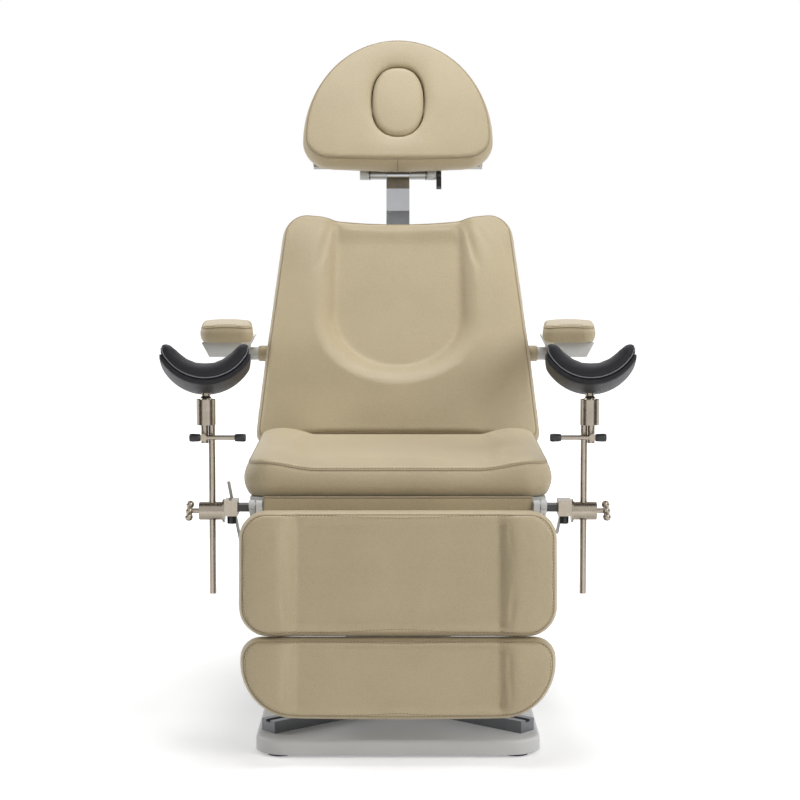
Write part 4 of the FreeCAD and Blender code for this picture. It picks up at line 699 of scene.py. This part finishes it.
def makeHead():
    s = {**stuffing, **headShape}
    outline = headOutline()
    middle = np.array([0.0, s["start"] + s["plugAt"]])
    angle = np.arctan2((outline[:, 1] - middle[1]) / s["plugLong"], outline[:, 0] / s["plugHalf"])
    hole = plugRing(s["plugHalf"], s["plugLong"], angle)
    outward = outwardOf(outline, middle)
    rim = stepped(outline, outward, -s["faceRound"] * (1 - np.cos(quarter)))
    lip = stepped(hole, unit(hole - middle), s["plugRound"] * (1 - np.sin(quarter)))
    backRim = stepped(outline, outward, -s["backRound"] * (1 - np.sin(quarter)))
    part = np.linspace(0, 1, 26)[1:-1, None, None]
    face = rim[-1][None] * (1 - part) + lip[0][None] * part
    backPart = np.linspace(0, 1, 12)[:-1, None, None]
    under = hole[None] * (1 - backPart) + backRim[0][None] * backPart
    bandUp = np.linspace(0, 1, 12)[1:-1]
    band = stepped(outline, outward, s["belly"] * np.sin(np.pi * bandUp))
    rimTop = headFace(rim[-1][:, 0], rim[-1][:, 1]) - s["faceDrop"]
    lipTop = headFace(lip[0][:, 0], lip[0][:, 1])
    height = np.concatenate([np.full(under.shape[:2], s["low"]), *bandHeights(s, rimTop, bandUp),
                             headFace(face[..., 0], face[..., 1]),
                             lipTop[None] - s["plugRound"] * (1 - np.cos(quarter))[:, None]])
    flat = np.concatenate([under, backRim, band, rim, face, lip])
    rings = toBack(joined(flat[..., 0], flat[..., 1], height))
    piece = meshPiece(s["name"], rings, gridFaces(*rings.shape[:2], wrapRows=True, wrapColumns=True))
    piece, seam = padded(piece, s, rings[len(under) + len(quarter) + len(bandUp) + s["seamAt"]])
    settle(piece, "head", "head_pad")
    return piece, seam


plugShape = {
    "name": "facePlug", "off": (0, -0.866, 0.5), "voxel": 0.0035, "cap": 0.003, "middle": (0.0, 0.905),
    "low": -0.0295, "high": 0.0325, "dome": 0.004, "backRound": 0.006, "faceRound": 0.009, "faceDrop": 0.008,
    "belly": 0.0, "rings": 24, "seamAt": 5, "half": 0.0617, "long": 0.0982, "pull": 0.0012}


def plugFace(x, along):
    s = plugShape
    return s["high"] - s["dome"] * (np.hypot(x / s["half"], (along - s["middle"][1]) / s["long"])) ** 2


def makePlug():
    outline = plugRing(plugShape["half"], plugShape["long"], fullTurn(240))
    sewn(plugShape, outline, plugFace, toBack, "face_plug", "face_plug")


# arms: a box of foam on each bracket, standing a little further out at its far end
armShape = {
    "off": (0, 0, 1), "voxel": 0.0045, "cap": 0.004, "inner": 0.297, "width": 0.114, "front": -0.217,
    "length": 0.318, "inset": 0.003, "splay": 4.8, "low": 0.7865, "high": 0.828, "crown": 0.004,
    "round": 0.024, "backRound": 0.01, "faceRound": 0.007, "faceDrop": 0.006, "belly": 0.0015, "rings": 26,
    "seamAt": 1}


def makeArm(side, sign):
    s = {**armShape, "name": f"armCushion_{side}"}
    lean = math.tan(math.radians(s["splay"]))
    middle = s["inner"] + s["width"] / 2
    s["middle"] = (sign * (middle + lean * s["length"] / 2), s["front"] + s["length"] / 2)

    def armFace(x, y):  # crowned across and along
        across = (x - sign * (middle + lean * (y - s["front"]))) / (s["width"] / 2)
        along = (y - s["middle"][1]) / (s["length"] / 2)
        return s["high"] - s["crown"] * across ** 2 - s["crown"] * along ** 4

    reach = s["width"] / 2 - s["inset"]
    outline = boxOutline((reach, s["inset"], s["round"]), (reach, s["length"], s["round"]), 240)
    across, along = outline.T
    outline = joined(sign * (middle + lean * along) + across, s["front"] + along)
    return sewn(s, outline, armFace, np.asarray, f"arm_{side}", f"arm_pad_{side}")


headCushion, headSeam = makeHead()
makePlug()
armCushions = {side: makeArm(side, sign) for side, sign in sides.items()}
print("head, plug and arm cushions made")

# seams: a thin piping sewn along each cover's edge, with a row of stitches beside it on the face
seamLook = {
    "piping": 0.0016, "hide": "pipingHide", "thread": "tanThread", "step": 0.0068, "stitch": 0.0046,
    "threadRadius": 0.00055, "beside": 0.0062, "lift": 0.0002}
stitchSlices = np.array([(-0.5, 0.25), (-0.38, 1.0), (0.0, 1.15), (0.38, 1.0), (0.5, 0.25)])


def runStitches(path, step, length, radius, around=6):  # short rounded threads along a closed path
    total = np.linalg.norm(np.diff(np.vstack([path, path[:1]]), axis=0), axis=1).sum()
    count = max(int(total / step), 8)
    at = evenly(path, count)
    ahead = unit(aheadOf(at))
    along, swollen = stitchSlices.T[:, None, :, None, None]
    points = (at[:, None, None] + ahead[:, None, None] * (length * along)
              + ringsRound(ahead, around)[:, None] * (radius * swollen))
    one = gridFaces(len(stitchSlices), around, wrapColumns=True)
    faces = one[None] + (np.arange(count) * len(stitchSlices) * around)[:, None, None]
    return points, faces.reshape(-1, 4)


def trimPiece(name, points, faces, body, slot, finishName):
    piece = meshPiece(name, points, faces)
    setFinish(piece, finishName)
    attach(piece, body)
    return piece


def seamsOf(name, cover, path, body):  # piping on the edge, stitches drawn towards the face's middle
    look = seamLook
    piping = tubeAlong(evenly(laidOn(cover, evenly(path, 420)), 420), look["piping"], closed=True)
    trimPiece(f"{name}Piping", *piping, body, "upholstery", look["hide"])
    row = laidOn(cover, path + unit(path.mean(0) - path) * look["beside"], look["lift"])
    stitches = runStitches(row, look["step"], look["stitch"], look["threadRadius"])
    trimPiece(f"{name}Stitches", *stitches, body, "upholstery", look["thread"])


seamsOf("seat", seatCushion, seatSeam, "seat")
seamsOf("back", backCushion, backSeam, "back")
for part, section in (("upper", "leg"), ("lower", "foot")):
    seamsOf(f"{part}Leg", *legCushions[part], section)
seamsOf("head", headCushion, headSeam, "head")
for side, pad in armCushions.items():
    seamsOf(f"arm_{side}", *pad, f"arm_{side}")

# the head band's join: one upright sewn line in the middle of its lower edge
bandJoin = {"from": (0.0, 0.742, 0.024), "to": (0.0, 0.742, -0.022), "radius": 0.0012}
joinPath = laidOn(headCushion, toBack(np.linspace(bandJoin["from"], bandJoin["to"], 24)))
trimPiece("headBandJoin", *tubeAlong(joinPath, bandJoin["radius"]), "head", "upholstery", seamLook["hide"])
print("seams sewn")

# flap: a strip of the same cover hung from the seat's front edge over the leg hinge, with a rolled edge
flapShape = {
    "name": "hingeFlap", "half": 0.262, "low": 0.472, "high": 0.5, "front": -0.464, "wave": 0.0006,
    "bow": 0.0006, "rollAt": 0.498, "rollOut": 0.0012, "roll": 0.0019, "across": 161, "down": 17,
    "thick": 0.0016}


def makeFlap():  # x runs along the strip and z down it, with a slight bow and slow waves in its hang
    s = flapShape
    x, z = np.meshgrid(np.linspace(-s["half"], s["half"], s["across"]),
                       np.linspace(s["high"], s["low"], s["down"]), indexing="xy")
    hang = (s["high"] - z) / (s["high"] - s["low"])
    slack = s["wave"] * hang * (np.sin(x * 31) + np.cos(x * 13 + 1))
    y = s["front"] + slack - s["bow"] * np.sin(np.pi * hang)
    piece = meshPiece(s["name"], joined(x, y, z), gridFaces(s["down"], s["across"]))
    setFinish(piece, "beigeHide")
    thick = piece.modifiers.new("cover", "SOLIDIFY")
    thick.thickness = s["thick"]
    thick.offset = 0.0
    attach(piece, "seat")
    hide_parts("hinge_flap")
    line = x[0][:, None] * (1, 0, 0) + (0, s["front"] - s["rollOut"], s["rollAt"])
    roll = trimPiece("hingeFlapPiping", *tubeAlong(line, s["roll"]), "seat", "upholstery", seamLook["hide"])


makeFlap()
print("hinge flap hung")

# cups: a thick padded crescent with a crease across it, on a covered shell that is deepest over its stem
cupShape = {
    "hide": "navyHide", "off": (0, 0, 1), "voxel": 0.004, "cap": 0.0025, "pull": 0.001, "pullWidth": 0.004,
    "across": 0.376, "along": -0.43, "ball": 0.684, "tilt": -10.0, "rise": 0.127, "swivel": 5.0,
    "inner": 0.069, "outer": 0.0962, "span": 72.0, "half": 0.1005, "corner": 0.0125, "capTurn": 15.0,
    "keel": 0.0, "fill": 0.01, "spread": 2.2, "tipWidth": 0.9, "sections": 90, "edgeIn": 0.004,
    "edgeShare": 0.95, "creaseAt": -0.074, "crease": 0.0026, "creaseShare": 0.93, "creaseWidth": 0.0045,
    "pipe": 0.0013}
shellShape = {
    **cupShape, "cap": 0.001, "inner": 0.0925, "outer": 0.103, "span": 63.0, "half": 0.0975,
    "corner": 0.0052, "capTurn": 9.0, "keel": 0.01, "fill": 0.0}


def cupPlace(points, sign):  # turn round the ring, along it and out from its middle, to the cup's own place
    s = cupShape
    turn, along, reach = points[..., 0], points[..., 1], points[..., 2]
    lean = math.radians(s["tilt"])
    up = s["rise"] - reach * np.cos(turn)
    side, ahead = reach * np.sin(turn), along * math.cos(lean) - up * math.sin(lean)
    yaw = math.radians(-sign * s["swivel"])
    return joined(sign * s["across"] + side * math.cos(yaw) - ahead * math.sin(yaw),
                  s["along"] + side * math.sin(yaw) + ahead * math.cos(yaw),
                  s["ball"] + along * math.sin(lean) + up * math.cos(lean))


def crescent(s, sign):  # a rounded section swept round the ring, closed at both tips, with a keel below
    low, high, reach = s["inner"], s["outer"], s["half"]
    section = boxOutline((reach, low, s["corner"]), (reach, high, s["corner"]), 132)
    span, capTurn = math.radians(s["span"]), math.radians(s["capTurn"])
    turn = span * np.sin(np.linspace(-np.pi / 2, np.pi / 2, s["sections"]))
    closing = np.clip((span - np.abs(turn)) / capTurn, 0, 1)
    shrink = np.sqrt(np.maximum(1 - (1 - closing) ** 2, 0))
    middle = np.array([0.0, (low + high) / 2])
    narrow = s["tipWidth"] + (1 - s["tipWidth"]) * shrink
    drawn = (section - middle)[None] * joined(narrow, shrink)[:, None] + middle
    deep = np.cos(np.pi * drawn[..., 0] / (s["spread"] * reach))
    deep *= np.cos(turn * np.pi / (2 * span))[:, None]
    inside = drawn[..., 1] < middle[1]
    drawn[..., 1] += np.where(inside, -s["fill"], s["keel"]) * deep
    points = cupPlace(joined(turn[:, None], drawn[..., 0], drawn[..., 1]), sign)
    part = np.linspace(-1, 1, 120) * span * s["edgeShare"]
    nearEdge = joined(part, -reach + s["edgeIn"], high - s["edgeIn"])
    edge = cupPlace(np.vstack([nearEdge, nearEdge[::-1] * np.array([1, -1, 1])]), sign)
    piece = meshPiece(s["name"], points, gridFaces(*points.shape[:2], wrapColumns=True))
    return padded(piece, s, edge)


def makeCup(side, sign):
    s = {**stuffing, **cupShape, "name": f"cupCushion_{side}"}
    piece, edge = crescent(s, sign)
    part = np.linspace(-1, 1, 120) * math.radians(s["span"]) * s["creaseShare"]
    crease = cupPlace(joined(part, s["creaseAt"], s["inner"]), sign)
    pressSeam(piece, evenly(crease, 400, closed=False), s["crease"], s["creaseWidth"])
    settle(piece, f"cup_{side}", f"cup_pad_{side}")
    pipe = tubeAlong(evenly(edge, 420), s["pipe"], closed=True)
    trimPiece(f"cupPiping_{side}", *pipe, f"cup_{side}", "cup_pad", "greyThread")
    shell, _ = crescent({**stuffing, **shellShape, "name": f"cupShell_{side}"}, sign)
    settle(shell, f"cup_{side}", f"cup_shell_{side}")


for side, sign in sides.items():
    makeCup(side, sign)
print("knee cups padded")


# turned trim: a profile of distance along an axis and radius, spun round it
def turnedPiece(name, profile, start, axis, body, slot, finishName, around=32):
    along, radius = np.array(profile, float).T[..., None, None]
    axis = unit(np.array(axis, float))
    points = np.array(start) + along * axis + radius * ringsRound(axis[None], around)
    faces = gridFaces(len(profile), around, wrapColumns=True)
    tidyMesh(trimPiece(name, points, faces, body, slot, finishName))


# grips: a tapered black sleeve on each end of the cross handles under the cups
gripShape = {"reach": 0.0548, "middle": 0.351, "at": (-0.4571, 0.614),
             "profile": [(0.0, 0.0), (0.0, 0.0062), (0.0012, 0.0075), (0.006, 0.008), (0.016, 0.0076),
                         (0.0205, 0.0071), (0.0215, 0.006), (0.0215, 0.0)]}
for side, sign in sides.items():
    for end, way in (("outer", 1), ("inner", -1)):
        start = (sign * (gripShape["middle"] + way * gripShape["reach"]), *gripShape["at"])
        turnedPiece(f"handleGrip_{side}_{end}", gripShape["profile"], start, (-sign * way, 0, 0),
                    f"socket_handle_{side}", "black_plastic", "blackMoulding")

# head bracket: a pale cap on each end of its tube, and a dark washer inside it
capShape = {"at": (0.4418, 1.1585), "atCap": 0.0915, "atWasher": 0.0685,
            "Cap": [(0.0, 0.0), (0.0, 0.0098), (0.0018, 0.012), (0.019, 0.0122), (0.0215, 0.0116),
                    (0.0225, 0.0)],
            "Washer": [(0.0, 0.0), (0.0, 0.0126), (0.0022, 0.0126), (0.0022, 0.0)]}
for side, sign in sides.items():
    for part, look in (("Cap", "whiteMoulding"), ("Washer", "blackMoulding")):
        start = (sign * capShape[f"at{part}"], *capShape["at"])
        turnedPiece(f"bracket{part}_{side}", capShape[part], start, (-sign, 0, 0), "head", "chrome", look)

# cup stems: a tapered nickel neck up from the ball, with a pale collar under the cup
stemShape = {"neck": [(-0.002, 0.0), (-0.002, 0.0072), (0.004, 0.0078), (0.017, 0.0094), (0.0185, 0.0094),
                      (0.0185, 0.0)],
             "collar": [(0.017, 0.0), (0.017, 0.0098), (0.0182, 0.0106), (0.0265, 0.0106), (0.028, 0.0098),
                        (0.028, 0.0)]}
stemAxis = (0.0, -math.sin(math.radians(cupShape["tilt"])), math.cos(math.radians(cupShape["tilt"])))
for side, sign in sides.items():
    foot = (sign * cupShape["across"], cupShape["along"], cupShape["ball"])
    turnedPiece(f"cupNeck_{side}", stemShape["neck"], foot, stemAxis, f"cup_{side}", "nickel", "satinNickel")
    turnedPiece(f"cupCollar_{side}", stemShape["collar"], foot, stemAxis, f"cup_{side}", "nickel",
                "whiteMoulding")

# arm pivots: a sleeve of the same hide round each axle, against the backrest's side
pivotShape = {"inner": 0.298, "profile": [(0.0, 0.0), (0.0, 0.017), (0.002, 0.0184), (0.021, 0.0184),
                                          (0.0235, 0.017), (0.0235, 0.0)]}
for side, sign in sides.items():
    start = (sign * pivotShape["inner"], *jointAt[f"arm_fold_{side}"][1:])
    turnedPiece(f"pivotSleeve_{side}", pivotShape["profile"], start, (sign, 0, 0), f"arm_{side}",
                "upholstery", "beigeHide")

# face opening: a dark sleeve in the narrow gap round the plug
sleeveShape = {"half": 0.0631, "long": 0.0996, "low": -0.027, "high": 0.016, "thick": 0.0008, "around": 160}


def makeSleeve():  # an oval wall, its section a thin upright strip carried round the plug
    s = sleeveShape
    angle = fullTurn(s["around"])
    wall = s["thick"] / 2
    section = [(-wall, s["low"]), (wall, s["low"]), (wall, s["high"]), (-wall, s["high"])]
    rings = [np.insert(plugRing(s["half"] + out, s["long"] + out, angle), 2, height, axis=1)
             for out, height in section]
    faces = gridFaces(len(section), s["around"], wrapRows=True, wrapColumns=True)
    points = toBack(np.stack(rings))
    tidyMesh(trimPiece("plugSleeve", points, faces, "head", "black_plastic", "blackMoulding"))


makeSleeve()
print("grips, caps, stems and sleeves fitted")

# stage: a pale floor that keeps the shadow, a white surround for the camera and for shine, soft lamps
stageLook = {
    "floor": (0.88, 0.88, 0.88), "floorGlow": 0.34, "floorFar": 1.0, "near": 1.0, "far": 2.4, "reach": 30.0,
    "surround": 0.24,
    "lamps": [
        {"name": "overhead", "at": (0.1, 0.25, 5.0), "aim": (0.0, -0.1, 0.6), "size": 2.2, "power": 120.0},
        {"name": "rightKey", "at": (3.0, -3.1, 2.9), "aim": (0.0, -0.1, 0.7), "size": 2.8, "power": 100.0},
        {"name": "leftRim", "at": (-2.9, 0.4, 1.7), "aim": (0.0, 0.0, 0.8), "size": 1.6, "power": 28.0},
        {"name": "rightRim", "at": (2.9, 0.4, 1.7), "aim": (0.0, 0.0, 0.8), "size": 1.6, "power": 12.0}],
    "cards": [
        {"name": "leftCard", "middle": (-2.4, -1.6, 1.0), "half": (0.0, 1.1, 1.6)},
        {"name": "rightCard", "middle": (2.4, -1.6, 1.0), "half": (0.0, 1.1, 1.6)},
        {"name": "topCard", "middle": (0.0, -1.1, 3.2), "half": (0.9, 0.5, 0.0)}]}


def seenDirectly(tree):  # one for camera, mirror and clear rays
    path = addNode(tree, "ShaderNodeLightPath")
    mirror = mathNode(tree, "MAXIMUM", path["Is Glossy Ray"], path["Is Transmission Ray"])
    return mathNode(tree, "MAXIMUM", path["Is Camera Ray"], mirror)


def makeFloor():
    reach = stageLook["reach"]
    along, across = np.meshgrid(np.linspace(-reach, reach, 9), np.linspace(-reach, reach, 9), indexing="ij")
    floor = meshPiece("floor", joined(along, across, 0.0), gridFaces(9, 9)[:, ::-1])
    plain = {"Base Color": (*stageLook["floor"], 1), "Roughness": 0.9, "Specular IOR Level": 0.1,
             "Emission Color": (1, 1, 1, 1)}
    material, tree, shader = startMaterial("paleFloor", plain)
    place = addNode(tree, "ShaderNodeTexCoord")["Object"]
    away = addNode(tree, "ShaderNodeVectorMath", {0: place}, operation="LENGTH")["Value"]
    fade = {"Value": away, "From Min": stageLook["near"], "From Max": stageLook["far"],
            "To Min": stageLook["floorGlow"], "To Max": stageLook["floorFar"]}
    glow = addNode(tree, "ShaderNodeMapRange", fade, interpolation_type="SMOOTHSTEP")["Result"]
    tree.links.new(mathNode(tree, "MULTIPLY", seenDirectly(tree), glow), shader["Emission Strength"])
    floor.data.materials.append(material)


def makeSurround():
    world = bpy.data.worlds.new("surround")
    scene.world = world
    world.use_nodes = True
    tree = world.node_tree
    sky = tree.nodes["Background"].inputs
    sky["Color"].default_value = (1, 1, 1, 1)
    tree.links.new(ranged(tree, seenDirectly(tree), stageLook["surround"], 1.0), sky["Strength"])


def makeLamp(look):
    lamp = bpy.data.lights.new(look["name"], "AREA")
    lamp.shape = "DISK"
    lamp.size = look["size"]
    lamp.energy = look["power"]
    holder = bpy.data.objects.new(look["name"], lamp)
    holder.location = look["at"]
    holder.rotation_euler = (Vector(look["aim"]) - Vector(look["at"])).to_track_quat("-Z", "Y").to_euler()
    scene.collection.objects.link(holder)


def makeCard(look):  # a dark card beside the object that only shine can see, so bare metal gets dark edges
    middle, half = np.array(look["middle"]), np.array(look["half"])
    first, second = np.flatnonzero(half)
    one, two = np.meshgrid(np.linspace(-1, 1, 5), np.linspace(-1, 1, 5), indexing="ij")
    points = np.zeros((5, 5, 3)) + middle
    points[..., first] += one * half[first]
    points[..., second] += two * half[second]
    card = meshPiece(look["name"], points, gridFaces(5, 5))
    plain = {"Base Color": (0.01, 0.01, 0.01, 1), "Roughness": 1.0, "Specular IOR Level": 0.0}
    card.data.materials.append(startMaterial(f"{look['name']}Black", plain)[0])
    card.visible_camera = card.visible_diffuse = card.visible_shadow = card.visible_transmission = False


makeFloor()
makeSurround()
for cardLook in stageLook["cards"]:
    makeCard(cardLook)
for lampLook in stageLook["lamps"]:
    makeLamp(lampLook)
scene.view_settings.view_transform = "Standard"
print("stage and lamps set")
